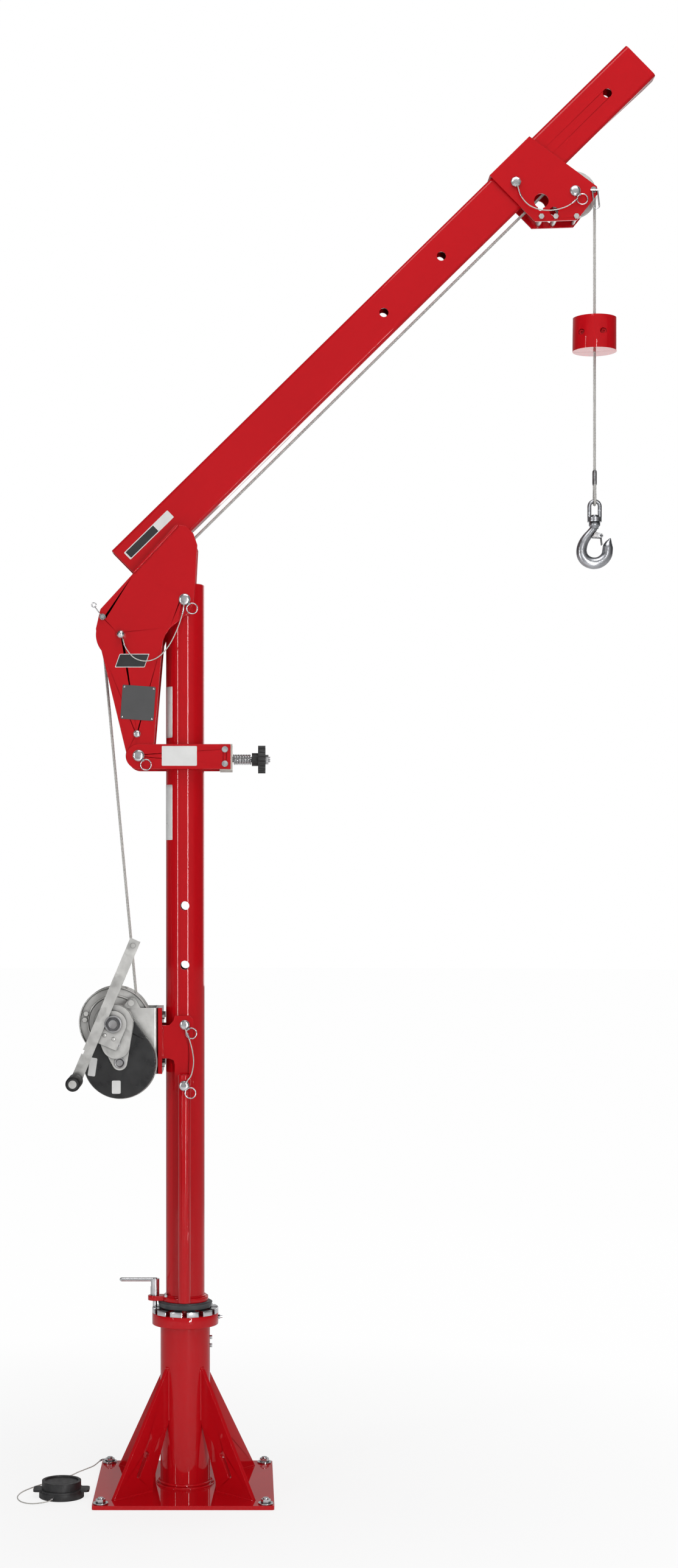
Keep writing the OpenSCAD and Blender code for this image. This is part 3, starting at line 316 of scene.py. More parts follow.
# ---------------------------------------------------------------- mesh helpers
def piece(name, verts, faces, material, body, smooth=True):
    """A mesh piece that rides on a body."""
    data = bpy.data.meshes.new(name)
    data.from_pydata([tuple(v) for v in verts], [], faces)
    data.validate()
    bm = bmesh.new()
    bm.from_mesh(data)
    bmesh.ops.recalc_face_normals(bm, faces=bm.faces)
    bm.to_mesh(data)
    bm.free()
    for p in data.polygons:
        p.use_smooth = smooth
    obj = bpy.data.objects.new(name, data)
    bpy.context.scene.collection.objects.link(obj)
    data.materials.append(material)
    if body:
        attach(obj, body)
    return obj


def merged(name, parts, material, body, smooth=True):
    """One piece from several (verts, faces)."""
    verts, faces = [], []
    for v, f in parts:
        base = len(verts)
        verts += list(v)
        faces += [[i + base for i in face] for face in f]
    return piece(name, verts, faces, material, body, smooth)


def blend4(a, b, c, d, t):
    """Catmull-Rom: the curve's value between b and c, with t from 0 to 1."""
    square = 2 * a - 5 * b + 4 * c - d
    cube = 3 * b - a - 3 * c + d
    return 0.5 * (2 * b + (c - a) * t + square * t * t + cube * t ** 3)


def smooth_route(points, steps):
    """The same curve through the listed points as in the source."""
    p = [at(*q) for q in points]
    last = len(p) - 1
    out = [
        blend4(p[max(i - 1, 0)], p[i], p[i + 1], p[min(i + 2, last)], s / steps)
        for i in range(last) for s in range(steps)
    ]
    return out + [p[last]]


def length_of(path):
    return sum((b - a).length for a, b in zip(path, path[1:]))


def even(path, step):
    """The same path with points a step apart."""
    total = length_of(path)
    count = max(2, round(total / step))
    out, k, gone = [path[0].copy()], 0, 0.0
    for i in range(1, count):
        want = total * i / count
        while gone + (path[k + 1] - path[k]).length < want:
            gone += (path[k + 1] - path[k]).length
            k += 1
        out.append(path[k].lerp(path[k + 1], (want - gone) / (path[k + 1] - path[k]).length))
    return out + [path[-1].copy()]


def frames(path, ref):
    """A side direction at each point, carried along without twist."""
    last = len(path) - 1
    out, side = [], Vector(ref)
    for i in range(last + 1):
        t = (path[min(i + 1, last)] - path[max(i - 1, 0)]).normalized()
        side = (side - side.dot(t) * t).normalized()
        out.append((side, t.cross(side)))
    return out


def skin(rings, count, ring_loop=False, point_loop=True):
    """The quads between rings of count points each, closed one way or both."""
    return [
        [i * count + k, i * count + (k + 1) % count, j * count + (k + 1) % count, j * count + k]
        for i, j in ((i, (i + 1) % rings) for i in range(rings if ring_loop else rings - 1))
        for k in range(count if point_loop else count - 1)
    ]


def sweep(path, section, ref=(0, 1, 0), twist=0.0, closed=False, size=None):
    """(verts, faces) of a section swept along a path, turned by twist radians a metre."""
    verts, gone = [], 0.0
    for i, (p, (a, b)) in enumerate(zip(path, frames(path, ref))):
        if i:
            gone += (path[i] - path[i - 1]).length
        turn = twist * gone
        c, s = math.cos(turn), math.sin(turn)
        k = size(i, gone) if size else 1.0
        verts += [p + k * ((x * c - y * s) * a + (x * s + y * c) * b) for x, y in section]
    rings, sides = len(path), len(section)
    faces = skin(rings, sides, ring_loop=closed)
    if not closed:
        faces.append(list(range(sides))[::-1])
        faces.append([(rings - 1) * sides + k for k in range(sides)])
    return verts, faces


def disc(radius, sides):
    return [(radius * math.cos(TAU * k / sides), radius * math.sin(TAU * k / sides)) for k in range(sides)]


def stranded(radius, strands=6, steps=6):
    """The outline of a stranded rope."""
    out = []
    for k in range(strands):
        mid = TAU * k / strands
        for s in range(steps):
            a = mid + math.radians(-120 + 240 * s / steps)
            out.append((
                radius * (2 * math.cos(mid) + math.cos(a)) / 3,
                radius * (2 * math.sin(mid) + math.sin(a)) / 3,
            ))
    return out


def turned(centre, outline, sides=96):
    """(verts, faces) of a closed outline of (radius, y) turned about Y."""
    verts = []
    for k in range(sides):
        a = TAU * k / sides
        verts += [centre + Vector((r * math.cos(a), y, r * math.sin(a))) for r, y in outline]
    return verts, skin(sides, len(outline), ring_loop=True)


def ring_solid(centre, inner, outer, y0, y1, sides=96, round_off=1.0):
    """(verts, faces) of a sleeve about Y with eased corners, all but its place in millimetres."""
    e, small = round_off, 0.3 * round_off
    outline = [
        (inner, y0), (outer - e, y0), (outer - small, y0 + small), (outer, y0 + e),
        (outer, y1 - e), (outer - small, y1 - small), (outer - e, y1), (inner, y1),
    ]
    return turned(centre, [(r * MM, y * MM) for r, y in outline], sides)


def lathe(foot, outline, sides=48):
    """(verts, faces) of an open (radius, z) outline turned about the upright axis, closed at its ends."""
    verts, n = [], len(outline)
    for k in range(sides):
        a = TAU * k / sides
        verts += [foot + at(r * math.cos(a), r * math.sin(a), z) for r, z in outline]
    faces = skin(sides, n, ring_loop=True, point_loop=False)
    faces += [[k * n for k in range(sides)], [k * n + n - 1 for k in range(sides)]]
    return verts, faces


def hex_nut(centre, y0, y1, r, hole):
    """(verts, faces) of a chamfered hex nut on the Y axis, with its hole, front face at y0."""
    verts, sides = [], 48
    for k in range(sides):
        a = TAU * k / sides
        flat = math.cos(math.radians(30)) / math.cos((a % math.radians(60)) - math.radians(30))
        far, near = r * flat, r * 0.87
        rows = [(hole, y0 + 0.6), (hole + 0.6, y0), (near - 0.4, y0), (near, y0 + 0.2),
                (min(far, near + 1.4), y0 + 0.9), (far, y0 + 1.6), (far, y1), (hole, y1)]
        verts += [centre + at(q * math.cos(a), y, q * math.sin(a)) for q, y in rows]
    return verts, skin(sides, len(rows), ring_loop=True)


def domed(centre, way, radius, high, sides=20):
    """(verts, faces) of a low round rivet head, radius and height in millimetres."""
    way = Vector(way).normalized()
    a = way.orthogonal().normalized()
    b = way.cross(a)
    rim = [math.cos(TAU * i / sides) * a + math.sin(TAU * i / sides) * b for i in range(sides)]
    rows = [(1.0, -0.2), (1.0, 0.15), (0.9, 0.55), (0.6, 0.88), (0.25, 1.0)]
    verts = [centre + radius * MM * k * out + high * MM * h * way for k, h in rows for out in rim]
    ends = [list(range(sides))[::-1], [(len(rows) - 1) * sides + i for i in range(sides)]]
    return verts, skin(len(rows), sides) + ends


def rounded_outline(w, h, r, steps=5, slant=0.0):
    """The corners of a rectangle with round corners, leaning if slant isn't 0."""
    out = []
    for cx, cy, a0 in ((w / 2 - r, h / 2 - r, 0), (-w / 2 + r, h / 2 - r, 90),
                       (-w / 2 + r, -h / 2 + r, 180), (w / 2 - r, -h / 2 + r, 270)):
        for i in range(steps + 1):
            a = math.radians(a0 + 90 * i / steps)
            x, y = cx + r * math.cos(a), cy + r * math.sin(a)
            out.append((x + slant * y, y))
    return out


def plate(outline, place, thick, ease=0.25):
    """(verts, faces) of a thin plate that faces -Y before it is placed, with an eased front edge."""
    def drawn_in(x, z):
        share = 1 - ease * thick / math.hypot(x, z)
        return x * share, z * share

    n = len(outline)
    front_face = [drawn_in(x, z) for x, z in outline]
    rows = [(outline, 0.0), (outline, -thick + ease * thick), (front_face, -thick)]
    verts = [place @ at(x, y, z) for ring, y in rows for x, z in ring]
    return verts, skin(3, n) + [list(range(n))[::-1], [2 * n + i for i in range(n)]]


def front(x, y, z, turn=0.0):
    """A place for a plate that faces the camera, turned by degrees up from the right."""
    return Matrix.Translation(at(x, y, z)) @ Matrix.Rotation(math.radians(-turn), 4, "Y")


def leaning(origin, degrees, u, y, v):
    """A point u along and v across a part that leans up from the right, y in depth."""
    a = math.radians(degrees)
    return origin + at(u * math.cos(a) - v * math.sin(a), y, u * math.sin(a) + v * math.cos(a))


# ---------------------------------------------------------------- cords
# the routes are the ones in the CAD source, in millimetres
LANYARD = 2.6 * MM
CAP_ROUTE = [
    (-194, 206, 13), (-207, 203, 10), (-222, 180, 3), (-240, 153, 1.4), (-256, 125, 1.4),
    (-270, 96, 1.4), (-296, 60, 1.4), (-325, 24, 1.4), (-351, -14, 1.4), (-372, -56, 1.4),
    (-378, -100, 1.4), (-366, -138, 1.6), (-343, -158, 2.5), (-319, -161, 5), (-302, -154, 7),
    (-297, -141, 7.8), (-294.57, -133.58, 8),
]
PIN_Y = -61.7
HEAD_Y = -42.0
KNUCKLE_ROUTE = [
    (x, PIN_Y, z) for x, z in (
        (-141.2, 1951), (-134, 1930), (-116, 1908), (-90, 1900), (-62, 1908), (-36, 1935),
        (-16, 1975), (-4, 2012), (-1, 2034))
]
HEAD_ROUTE = [
    (x, HEAD_Y, z) for x, z in (
        (762, 2993), (770, 2968), (788, 2947), (815, 2936), (845, 2935), (872, 2942),
        (889, 2952), (900, 2962))
]
BRACKET_ROUTE = [
    (1, -66, 1061), (10, -70, 1040), (18, -78, 1012), (21, -87, 985),
    (16, -95, 958), (6, -97, 944), (2, -97.5, 937),
]


def crimp(name, path, body):
    """The pressed sleeve behind a lanyard's eye, 9 mm long and slightly oval."""
    line = even(path, 1.5 * MM)
    n = len(line) - 1
    oval = [(x * 1.15, y * 0.92) for x, y in disc(2.3 * MM, 14)]
    return merged(
        name, [sweep(line, oval, size=lambda i, s: 0.8 if i in (0, n) else 1.0)],
        CHROME, body)


def lanyard(name, route, node, body, steps=6):
    """A coated cable along its route, with a crimp at each end, in the place of its plain solid."""
    path = smooth_route(route, steps)
    verts, faces = sweep(path, disc(LANYARD / 2, 10), (0.02, 1, 0.03))
    cable = piece(name, verts, faces, CABLE, body)
    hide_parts(node)
    crimps = [
        crimp(name + "_crimp_" + str(i), part, body)
        for i, part in enumerate((path[steps // 2:steps + 2], path[-steps - 2:-steps // 2]))
    ]


lanyard("cap_cable", CAP_ROUTE, "cap_lanyard", "pedestal")
lanyard("knuckle_pin_cable", KNUCKLE_ROUTE, "pin_lanyards", "mast")
lanyard("head_pin_cable", HEAD_ROUTE, "pin_lanyards", "mast")
lanyard("bracket_pin_cable", BRACKET_ROUTE, "pin_lanyards", "mast")


# ---------------------------------------------------------------- rope
ROPE_R = 3.2 * MM
LAY = TAU / 0.042            # twist in radians a metre: one turn in 42 mm
STRANDS = stranded(ROPE_R * 1.03)
STEP, WOUND_STEP, EYE_STEP = 3.2 * MM, 3.6 * MM, 3.0 * MM
STUB = 28 * MM               # how far the drum's piece goes up the rope
DRUM = at(-161, 0, 1074)
KNUCKLE = at(-145.6, 0, 1960.7)
HEAD = at(895.5, 0, 2981)
WRAP_R, KNUCKLE_R, HEAD_R = 55 * MM, 45 * MM, 49.5 * MM
# the straight run from the drum to the knuckle sheave, then the one from there to the head sheave
rise = KNUCKLE - DRUM
rise_angle = math.atan2(rise.z, rise.x) + math.asin((WRAP_R + KNUCKLE_R) / rise.length)
out_way = Vector((math.sin(rise_angle), 0, -math.cos(rise_angle)))
WRAP_Y = -36.2 * MM
leave = DRUM + WRAP_R * out_way + Vector((0, WRAP_Y, 0))
arrive = KNUCKLE - KNUCKLE_R * out_way
reach = HEAD - KNUCKLE
reach_angle = math.atan2(reach.z, reach.x) + math.asin((HEAD_R - KNUCKLE_R) / reach.length)
over = reach_angle + math.pi / 2


def arc(centre, radius, start, stop, step=3.0):
    """Points of an arc seen from the front, angles in radians, a few millimetres apart."""
    count = max(4, round(abs(stop - start) * radius / (step * MM)))
    return [
        centre + radius * Vector((math.cos(a), 0, math.sin(a)))
        for a in (start + (stop - start) * i / count for i in range(count + 1))
    ]


up = (arrive - leave).normalized()
run_path = (
    [leave + STUB * up, arrive]
    + arc(KNUCKLE, KNUCKLE_R, rise_angle + math.pi / 2, over)[1:]
    + arc(HEAD, HEAD_R, over, 0.0)
)
rope_run = merged("hoist_rope", [sweep(even(run_path, STEP), STRANDS, twist=LAY)],
                  ROPE, "mast")
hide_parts("rope_run")

DROP_X = 945.0
drop_path = [at(DROP_X, 0, 2981), at(DROP_X, 0, 2696)]
rope_drop = merged("hoist_rope_drop", [sweep(even(drop_path, STEP), STRANDS, twist=LAY)],
                   ROPE, None)
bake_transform(rope_drop)
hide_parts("rope_drop")

# the winding: ten turns in the outer layer, each a pitch from the next, then a stub off the drum
TURNS = 10
wrap_steps = 140 * TURNS
first = rise_angle - math.pi / 2 - TAU * TURNS
wrap_path = [
    DRUM + WRAP_R * Vector((math.cos(a), 0, math.sin(a))) + Vector((0, -WRAP_Y + 2 * WRAP_Y * k, 0))
    for a, k in ((first + TAU * TURNS * i / wrap_steps, i / wrap_steps) for i in range(wrap_steps + 1))
]
wrap_path.append(leave + STUB * up)


winding = merged("rope_on_drum", [
    sweep(even(wrap_path, WOUND_STEP), STRANDS, twist=LAY),
    ring_solid(DRUM, 32.2, 51.4, -39.8, 39.8),
], ROPE, "drum")
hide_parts("rope_winding")

# the rope's end: through the weight, a pressed ferrule, and a soft eye round the hook's bail
EYE_Z, EYE_R = 2275, 9
side_drop = [at(DROP_X, 0, 2696), at(DROP_X, 0, 2350), at(DROP_X, 0.4, 2343), at(DROP_X, 2.4, 2330),
             at(DROP_X, 4.2, 2318)]
loop = [
    at(DROP_X, EYE_R * math.cos(a), EYE_Z + EYE_R * math.sin(a))
    for a in (math.radians(-180 * i / 16) for i in range(17))
]
eye_path = side_drop + [at(DROP_X, 8.4, 2290)] + loop + [at(DROP_X, -8.4, 2290), at(DROP_X, -4.2, 2316)]
FERRULE = [(x * 1.35, y * 0.85) for x, y in disc(6.2 * MM, 24)]
PRESSES = 16
ferrule_line = [at(DROP_X, 0, 2311 + 34 * i / PRESSES) for i in range(PRESSES + 1)]
rope_end = merged("rope_eye_loop", [sweep(even(eye_path, EYE_STEP), STRANDS, (0, 1, 0.001), LAY)],
                  ROPE, "load_line")
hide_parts("rope_eye")


def pressed(i, s):
    """The ferrule's ends are drawn in, and the press leaves shallow rings between them."""
    if i in (0, PRESSES):
        return 0.82
    if i in (1, PRESSES - 1):
        return 0.95
    return 0.98 if i % 4 == 2 else 1.0


merged("rope_ferrule", [sweep(ferrule_line, FERRULE, (0, 1, 0), size=pressed)],
       STEEL, "load_line")


# ---------------------------------------------------------------- clamp spring
SPRING_X0, SPRING_X1, SPRING_R, ROD_Z = 109.3, 153.4, 11.0, 1678.0
CURLS, CURL_STEPS = 11, 32
END_GAP = 1.6
coil = [
    at(SPRING_X0 + END_GAP + (SPRING_X1 - SPRING_X0 - 2 * END_GAP) * i / (CURLS * CURL_STEPS),
       SPRING_R * math.cos(TAU * i / CURL_STEPS), ROD_Z + SPRING_R * math.sin(TAU * i / CURL_STEPS))
    for i in range(CURLS * CURL_STEPS + 1)
]
spring = merged("clamp_spring_wire", [sweep(coil, disc(1.4 * MM, 12), (1, 0, 0))],
                CHROME, "mast")
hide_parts("clamp_spring")


# ---------------------------------------------------------------- winch details
LAYSHAFT = at(-146.9, 0, 985.1)
BRAKE_BOLT = at(-155, 0, 1027)
# (radius, depth in front of the drum's middle) of the rolled rim and of the pressed ring inside it
FLANGE_RIM = [
    (78.2, 42.3), (78.2, 45.0), (78.8, 46.2), (80.2, 46.5), (81.3, 45.9), (81.45, 44.8), (81.45, 42.3),
]
FLANGE_RING = [(58, 42.4), (59, 43.4), (60.5, 43.8), (62, 43.4), (63, 42.4)]
merged("drum_flange_lip", [
    turned(DRUM, [(r * MM, -y * MM) for r, y in outline]) for outline in (FLANGE_RIM, FLANGE_RING)
], ZINC, "drum")
merged("crank_nut", [hex_nut(DRUM, -117.6, -109.1, 16.2, 10.2)], DARK, "crank",
       smooth=False)
for name, body, shape in (
        ("crank_washer", "crank", ring_solid(DRUM, 10.2, 19.5, -109.9, -108.9, 64, 0.3)),
        ("brake_bolt_washer", "mast", ring_solid(BRAKE_BOLT, 5, 9.4, -98.7, -97.9, 48, 0.3)),
        ("layshaft_washer", "mast", ring_solid(LAYSHAFT, 7.7, 12.5, -91.2, -89.9, 48, 0.4))):
    merged(name, [shape], STEEL, body)


# ---------------------------------------------------------------- labels, all blank
def sticker(name, outline, place, material, thick=0.35):
    merged(name, [plate(outline, place, thick)], material, "mast", smooth=False)


BOOM_ANGLE = 44.48
NAME_SLANT = 0.36


def on_top(place, along=0.0):
    """A place just in front of a sticker, so that the next one lies on it."""
    return place @ Matrix.Translation(at(along, -0.36, 0))


boom_label = front(-83, -25.45, 2193, BOOM_ANGLE)
name_plate = front(-120, -56.05, 1901.5)
data_plate = front(-106.5, -56.05, 1805, -4)
sticker("boom_label", rounded_outline(140, 22, 2), boom_label, WHITE_LABEL)
sticker("boom_label_band", rounded_outline(88, 18, 1), on_top(boom_label, -22), BLACK_LABEL, 0.15)
sticker("name_plate_border", rounded_outline(68, 31, 2, slant=NAME_SLANT), name_plate, WHITE_LABEL)
sticker("name_plate_field", rounded_outline(65, 28, 1.5, slant=NAME_SLANT), on_top(name_plate),
        BLACK_LABEL, 0.15)
sticker("data_plate", rounded_outline(76, 78, 3), data_plate, DATA_LABEL, 0.9)
sticker("clamp_label", rounded_outline(80, 45, 2), front(-12, -62.05, 1683.5), WHITE_LABEL)
sticker("cover_label_side", rounded_outline(17, 42, 3), front(-209, -80.05, 975, -8), WHITE_LABEL, 0.3)
sticker("cover_label_low", rounded_outline(20, 30, 3), front(-155, -80.05, 929), WHITE_LABEL, 0.3)

MAST_R = 44.45 * MM


def wrapped(name, z0, z1, mid=math.radians(-152), width=34 * MM, thick=0.3 * MM):
    """A blank sticker bent round the mast; mid is the angle of its middle, 0 at the right."""
    cols, rows = 18, 12
    parts_v, parts_f = [], []
    for r in (MAST_R + 0.02 * MM, MAST_R + thick):
        for j in range(rows + 1):
            for i in range(cols + 1):
                u, v = i / cols - 0.5, j / rows - 0.5
                edge = 1 - 0.012 * (abs(u) > 0.49 and abs(v) > 0.49)
                a = mid + u * width / MAST_R * edge
                parts_v.append(Vector((r * math.cos(a), r * math.sin(a),
                                       (z0 + z1) / 2 + v * (z1 - z0) * edge)))
    n = (cols + 1) * (rows + 1)

    def idx(side, j, i):
        return side * n + j * (cols + 1) + i

    for j in range(rows):
        for i in range(cols):
            parts_f.append([idx(1, j, i), idx(1, j, i + 1), idx(1, j + 1, i + 1), idx(1, j + 1, i)])
            parts_f.append([idx(0, j, i), idx(0, j + 1, i), idx(0, j + 1, i + 1), idx(0, j, i + 1)])
    for i in range(cols):
        for j in (0, rows):
            parts_f.append([idx(0, j, i), idx(0, j, i + 1), idx(1, j, i + 1), idx(1, j, i)])
    for j in range(rows):
        for i in (0, cols):
            parts_f.append([idx(0, j, i), idx(0, j + 1, i), idx(1, j + 1, i), idx(1, j, i)])
    piece(name, parts_v, parts_f, WHITE_LABEL, "mast")


wrapped("mast_label_upper", 1.727, 1.844)
wrapped("mast_label_lower", 1.492, 1.619)

# ---------------------------------------------------------------- rivets and pin faces
CRANK_ANGLE = 67.1
TO_FRONT = (0, -1, 0)
merged("data_plate_rivets", [
    domed(data_plate @ at(x, -0.8, z), TO_FRONT, 2.4, 1.3) for x in (-33.5, 33.5) for z in (-34.5, 34.5)
], CHROME, "mast")
merged("hub_plate_rivets", [
    domed(leaning(DRUM, CRANK_ANGLE, -31, -104, v), TO_FRONT, 4.6, 1.1) for v in (-14, 8)
], ZINC, "crank")
# where each pin's front face is, and its radius
merged("pin_faces", [
    domed(at(x, y, z), TO_FRONT, r, 2.4, 40) for x, y, z, r in (
        (0, -60, 2041, 12.2), (-105, -66, 1684, 12.2), (-109, -60, 1734, 7.4),
        (895.5, -37, 2981, 11.2), (0, -56, 1069, 10.3), (0, -94, 933, 10.8))
], CHROME, "mast")
merged("head_pin_facets", [domed(at(759, -40, 3000.8), TO_FRONT, 11.4, 2.6, 8)],
       CHROME, "mast", smooth=False)


# ---------------------------------------------------------------- hook
HOOK_AT = at(DROP_X, 0, 2162)
# centre line and half width of the forged body, from the swivel round the bowl to the point
HOOK_LINE = [
    (0.4, 66, 9.2), (0.2, 58, 9.0), (-2.5, 49, 8.8), (-10, 39, 9.2), (-19, 28, 10.2), (-26.5, 14.5, 11.3),
    (-30, 0, 12.1), (-28, -13.5, 12.8), (-19.5, -24.6, 13.4), (-6, -30.4, 13.6), (8, -29.6, 13.4),
    (20.5, -22.4, 13.0), (28, -12, 12.6), (30.2, 0, 12.3), (30.8, 8, 11.6), (32.4, 15.5, 8.6),
    (34.6, 21.4, 5.0), (36, 25.4, 2.4), (36.6, 27.4, 1.0),
]
# (radius, height) of the collar above it, its groove and the head of its shank
HOOK_SHANK = [
    (8.8, 48), (9.4, 52), (11.6, 54.2), (12.9, 55.2), (13.2, 57), (13.2, 61.5), (12.6, 63), (11, 63.6),
    (6.3, 63.7), (6.0, 64.2), (6.0, 74.2), (7.0, 74.4), (7.2, 75.2), (7.2, 79.8), (6.4, 80.8), (4, 81),
]


def forged(line, steps=5):
    """(verts, faces) of a body along (x, z, half width) points, a little thinner than it is wide."""
    last = len(line) - 1
    path, wide = [], []
    for i in range(last):
        a, b, c, d = line[max(i - 1, 0)], line[i], line[i + 1], line[min(i + 2, last)]
        for s in range(steps):
            x, z, r = (blend4(a[k], b[k], c[k], d[k], s / steps) for k in range(3))
            path.append(HOOK_AT + at(x, 0, z))
            wide.append(r)
    path.append(HOOK_AT + at(line[last][0], 0, line[last][1]))
    wide.append(line[last][2])
    section = [(x * 0.88, y) for x, y in disc(MM, 32)]
    return sweep(path, section, (0, 1, 0), size=lambda i, s: wide[i])


hook = merged("forged_hook", [forged(HOOK_LINE), lathe(HOOK_AT, HOOK_SHANK)],
              FORGED, "hook_body")
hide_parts("hook")
cheek_end = [math.radians(-80 + 16 * i) for i in range(11)]
cheek = (
    [(-17, -4), (5, -5)]
    + [(5 + 5 * math.cos(a), 5 * math.sin(a)) for a in cheek_end]
    + [(5, 5), (-9, 9)]
)
merged("hook_latch_cheeks", [
    plate(cheek, Matrix.Translation(HOOK_AT + at(9, y, 32)), 2.7, 0.3) for y in (-6.3, 9)
], STEEL, "hook_body", smooth=False)
merged("hook_latch_rivet", [domed(HOOK_AT + at(14, -9, 32), TO_FRONT, 3.2, 1.3)],
       DARK, "hook_body")


# ---------------------------------------------------------------- weld beads
def bead(path, radius, ref, closed=False, ripple=2.6):
    """(verts, faces) of a weld bead with its ripples, half sunk in the joint."""
    line = even(path, 1.3 * MM)
    if closed:
        line = line[:-1]

    def size(i, s):
        wave = abs(math.sin(math.pi * s / (ripple * MM)))
        slow = math.sin(s * 140 + 1.3) * 0.06 + math.sin(s * 367) * 0.05
        taper = 1.0 if closed else min(1.0, 0.35 + i / 3, 0.35 + (len(line) - 1 - i) / 3)
        return taper * (0.88 + 0.16 * wave + slow)

    return sweep(line, disc(radius * MM, 10), ref, closed=closed, size=size)


def circle_path(radius, z, count=120):
    return [at(radius * math.cos(TAU * i / count), radius * math.sin(TAU * i / count), z)
            for i in range(count + 1)]


BASE_T = 9.5                 # the base plate's thickness
merged("pedestal_foot_weld", [
    bead(circle_path(58.6, BASE_T + 6.4), 3.6, (0, 0, 1), closed=True),
    bead(circle_path(64.0, BASE_T + 0.6), 3.0, (0, 0, 1), closed=True, ripple=3.3),
], RED, "pedestal")
gusset_beads = []
for quarter in range(4):
    a = math.radians(45 + 90 * quarter)
    way = Vector((math.cos(a), math.sin(a), 0))
    across = Vector((-math.sin(a), math.cos(a), 0))
    for side in (-1, 1):
        off = side * 4.9 * MM * across
        foot = [way * 0.107 + off + at(0, 0, BASE_T + 0.4), way * 0.224 + off + at(0, 0, BASE_T + 0.4)]
        wall = [way * 0.0567 + off + at(0, 0, 160), way * 0.0567 + off + at(0, 0, 279)]
        gusset_beads += [bead(foot, 2.6, (0, 0, 1)), bead(wall, 2.3, way)]
    tip = way * 0.0575 + at(0, 0, 281)
    gusset_beads.append(bead([tip - 6 * MM * across, tip + 6 * MM * across], 3.2, (0, 0, 1)))
merged("gusset_welds", gusset_beads, RED, "pedestal")
merged("collar_weld", [bead(circle_path(58.0, 376.6), 2.4, (0, 0, 1), closed=True)],
       RED, "pedestal")
merged("flange_weld", [bead(circle_path(45.8, 443.0), 2.8, (0, 0, 1), closed=True)],
       RED, "mast")


def in_boom(u, y, v):
    return leaning(at(0, 0, 2041), BOOM_ANGLE, u, y, v)


boom_beads = []
for side in (-1, 1):
    y = side * 56.2
    boom_beads.append(bead([at(-117, y, 2102), at(-14.5, y, 2212)], 3.6, (0, 1, 0)))
    boom_beads.append(bead([in_boom(-30, side * 26.4, 124), in_boom(99, side * 26.4, 124)], 3.0, (0, 1, 0)))
    boom_beads.append(bead([in_boom(99, side * 47, 104.6), in_boom(104, side * 26, 104.6)], 2.4, (0, 0, 1)))
merged("boom_welds", boom_beads, RED, "mast")
merged("bracket_welds", [
    bead([at(-51.2, side * y, 994), at(-51.2, side * y, 1066)], radius, (1, 0, 0))
    for y, radius in ((52.3, 2.3), (45.3, 2.0)) for side in (-1, 1)
], RED, "mast")

# ---------------------------------------------------------------- materials of the CAD nodes
# the nodes left out are replaced by pieces above
FINISH = {
    "base_plate": RED, "anchor_bolts": CHROME, "pedestal_tube": RED, "gussets": RED,
    "pedestal_collar": RED, "index_ring": CHROME, "mast_seal": RUBBER, "mast_bushings": BRONZE,
    "thrust_pad": NYLON, "pedestal_fittings": CHROME, "lanyard_tab": CHROME, "socket_cap": PLASTIC,
    "mast_tube": RED, "mast_flange": RED, "plunger_barrel": CHROME, "lock_plunger": CHROME,
    "knuckle_plates": RED, "knuckle_spacers": RED, "knuckle_pins": CHROME, "keeper_clip": CHROME,
    "boom_tube": RED, "head_sleeve": RED, "head_pins": CHROME, "head_spacers": ZINC, "head_shackle": CHROME,
    "clamp_arms": RED, "clamp_block": BLOCK, "clamp_screws": CHROME, "clamp_rod": CHROME,
    "clamp_knob": PLASTIC, "winch_bracket": RED, "bracket_pins": CHROME, "bracket_bolts": ZINC,
    "swing_handle": RED, "winch_frame": ZINC, "winch_bushings": BRONZE, "gear_cover": BLACK,
    "cover_back_plate": ZINC, "brake_plates": ZINC, "rope_drum": ZINC, "drum_gear": STEEL,
    "lay_shaft": STEEL, "lay_gear": STEEL, "crank_shaft": STEEL, "crank_arm": ZINC,
    "crank_grip": PLASTIC, "ratchet_pawl": ZINC, "knuckle_sheave": ZINC, "head_sheave": ZINC,
    "load_weight": RED, "hook_bail": FORGED, "hook": FORGED, "hook_latch": DARK,
}
# width in millimetres of the eased edges
EASED = {
    "base_plate": 1.6, "gussets": 1.2, "pedestal_collar": 1.4, "index_ring": 0.8, "mast_flange": 1.2,
    "knuckle_plates": 1.6, "boom_tube": 0.8, "head_sleeve": 0.7, "clamp_arms": 0.7, "clamp_block": 1.6,
    "clamp_knob": 2.0, "winch_bracket": 0.8, "gear_cover": 2.2, "cover_back_plate": 0.4,
    "brake_plates": 1.0, "crank_arm": 0.9, "crank_grip": 3.0, "socket_cap": 1.4, "load_weight": 1.2,
    "hook_latch": 0.4, "anchor_bolts": 0.7, "swing_handle": 0.6, "lay_gear": 0.3, "drum_gear": 0.3,
    "mast_seal": 1.5,
}
for name, obj in nodes.items():
    finish = FINISH.get(name, ZINC)
    data_block = obj.data
    if not data_block.materials:
        data_block.materials.append(finish)
    for i in range(len(data_block.materials)):
        data_block.materials[i] = finish
    if name in EASED:
        weld = obj.modifiers.new("weld", "WELD")
        weld.merge_threshold = 0.01 * MM
        ease = obj.modifiers.new("ease", "BEVEL")
        ease.width = EASED[name] * MM
        ease.segments = 3
        ease.limit_method = "ANGLE"
        ease.angle_limit = math.radians(42)
        ease.use_clamp_overlap = True
        ease.harden_normals = True


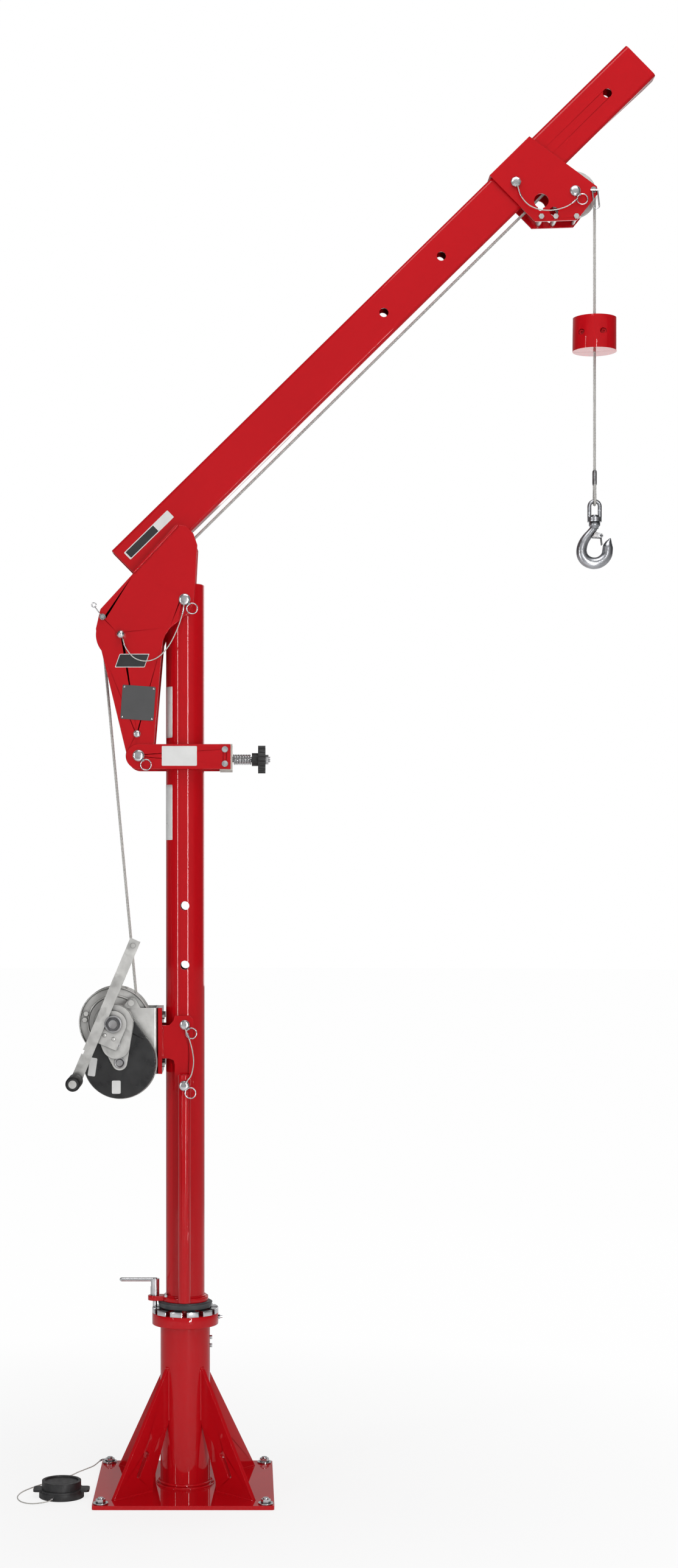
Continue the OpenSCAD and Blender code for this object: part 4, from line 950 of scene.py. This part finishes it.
# ---------------------------------------------------------------- floor, light
def studio(name, color, near, far):
    """A pale surface: shadows show near the object, and further off it fades into the background."""
    m = Mat(name, color, 0.7)
    m.tint(m.spread(m.noise(2.0, 3), 0.4, 0.6), tuple(c * 0.99 for c in color))
    shine = m.node("ShaderNodeEmission", Color=(1, 1, 1, 1), Strength=1.0)
    rays = m.node("ShaderNodeLightPath")
    out_from = m.node("ShaderNodeVectorMath", operation="LENGTH")
    m.link(m.object_place(), out_from.inputs[0])
    part = m.node("ShaderNodeMath", operation="MULTIPLY")
    m.link(rays.outputs["Is Camera Ray"], part.inputs[0])
    m.link(m.spread(out_from.outputs["Value"], 0.3, 1.8, near, far), part.inputs[1])
    mix = m.node("ShaderNodeMixShader")
    m.link(part.outputs[0], mix.inputs[0])
    m.link(m.shader.outputs[0], mix.inputs[1])
    m.link(shine.outputs[0], mix.inputs[2])
    out = next(n for n in m.tree.nodes if n.type == "OUTPUT_MATERIAL")
    m.link(mix.outputs[0], out.inputs["Surface"])
    return m.material


def floor():
    bm = bmesh.new()
    bmesh.ops.create_circle(bm, cap_ends=True, radius=30, segments=96)
    bm.normal_update()
    data = bpy.data.meshes.new("floor")
    bm.to_mesh(data)
    bm.free()
    obj = bpy.data.objects.new("floor", data)
    bpy.context.scene.collection.objects.link(obj)
    data.materials.append(studio("pale_floor", (0.94, 0.94, 0.94), 0.8, 0.985))


floor()

world = bpy.data.worlds.new("studio")
bpy.context.scene.world = world
world.use_nodes = True
sky = world.node_tree


def sky_node(kind, **values):
    return new_node(sky, kind, **values)


WHITE = (1, 1, 1, 1)
# the light that falls on the object; the camera itself sees the sky at full white
plain = sky.nodes["Background"]
plain.inputs["Color"].default_value = WHITE
plain.inputs["Strength"].default_value = 0.36
seen_sky = sky_node("ShaderNodeBackground", Color=WHITE, Strength=1.0)
# what metal shows: pale in front and behind, dimmer to the sides, as between two studio cards
gloss_sky = sky_node("ShaderNodeBackground", Color=WHITE)
toward = sky_node("ShaderNodeTexCoord")
split = sky_node("ShaderNodeSeparateXYZ")
sky.links.new(toward.outputs["Generated"], split.inputs[0])
depth = sky_node("ShaderNodeMath", operation="ABSOLUTE")
sky.links.new(split.outputs["Y"], depth.inputs[0])
card = sky_node("ShaderNodeMapRange", interpolation_type="SMOOTHSTEP")
for key, value in (("From Min", 0.35), ("From Max", 0.98), ("To Min", 0.07), ("To Max", 0.4)):
    card.inputs[key].default_value = value
sky.links.new(depth.outputs[0], card.inputs["Value"])
sky.links.new(card.outputs["Result"], gloss_sky.inputs["Strength"])
rays = sky_node("ShaderNodeLightPath")
glossy = sky_node("ShaderNodeMixShader")
sky.links.new(rays.outputs["Is Glossy Ray"], glossy.inputs[0])
sky.links.new(plain.outputs[0], glossy.inputs[1])
sky.links.new(gloss_sky.outputs[0], glossy.inputs[2])
direct = sky_node("ShaderNodeMath", operation="MAXIMUM")
sky.links.new(rays.outputs["Is Camera Ray"], direct.inputs[0])
sky.links.new(rays.outputs["Is Transmission Ray"], direct.inputs[1])
choose = sky_node("ShaderNodeMixShader")
sky.links.new(direct.outputs[0], choose.inputs[0])
sky.links.new(glossy.outputs[0], choose.inputs[1])
sky.links.new(seen_sky.outputs[0], choose.inputs[2])
sky.links.new(choose.outputs[0], sky.nodes["World Output"].inputs["Surface"])


def area(name, place, aim, width, height, power):
    """A soft lamp that shows in reflections but not to the camera."""
    lamp = bpy.data.lights.new(name, "AREA")
    lamp.shape = "RECTANGLE"
    lamp.size, lamp.size_y = width, height
    lamp.energy = power
    obj = bpy.data.objects.new(name, lamp)
    obj.location = place
    obj.visible_camera = False
    obj.rotation_euler = (Vector(aim) - Vector(place)).to_track_quat("-Z", "Y").to_euler()
    bpy.context.scene.collection.objects.link(obj)


area("strip", (1.28, -4.1, 1.4), (0.0, 0, 1.4), 0.16, 2.8, 54)
area("side", (-3.2, -3.2, 2.0), (0.2, 0, 1.5), 0.22, 2.8, 30)
area("top", (0.6, -1.6, 4.6), (0.3, 0, 1.2), 2.4, 1.6, 34)
area("back", (1.8, 3.6, 2.4), (0.2, 0, 1.4), 2.4, 3.0, 32)

bpy.context.scene.view_settings.view_transform = "Standard"
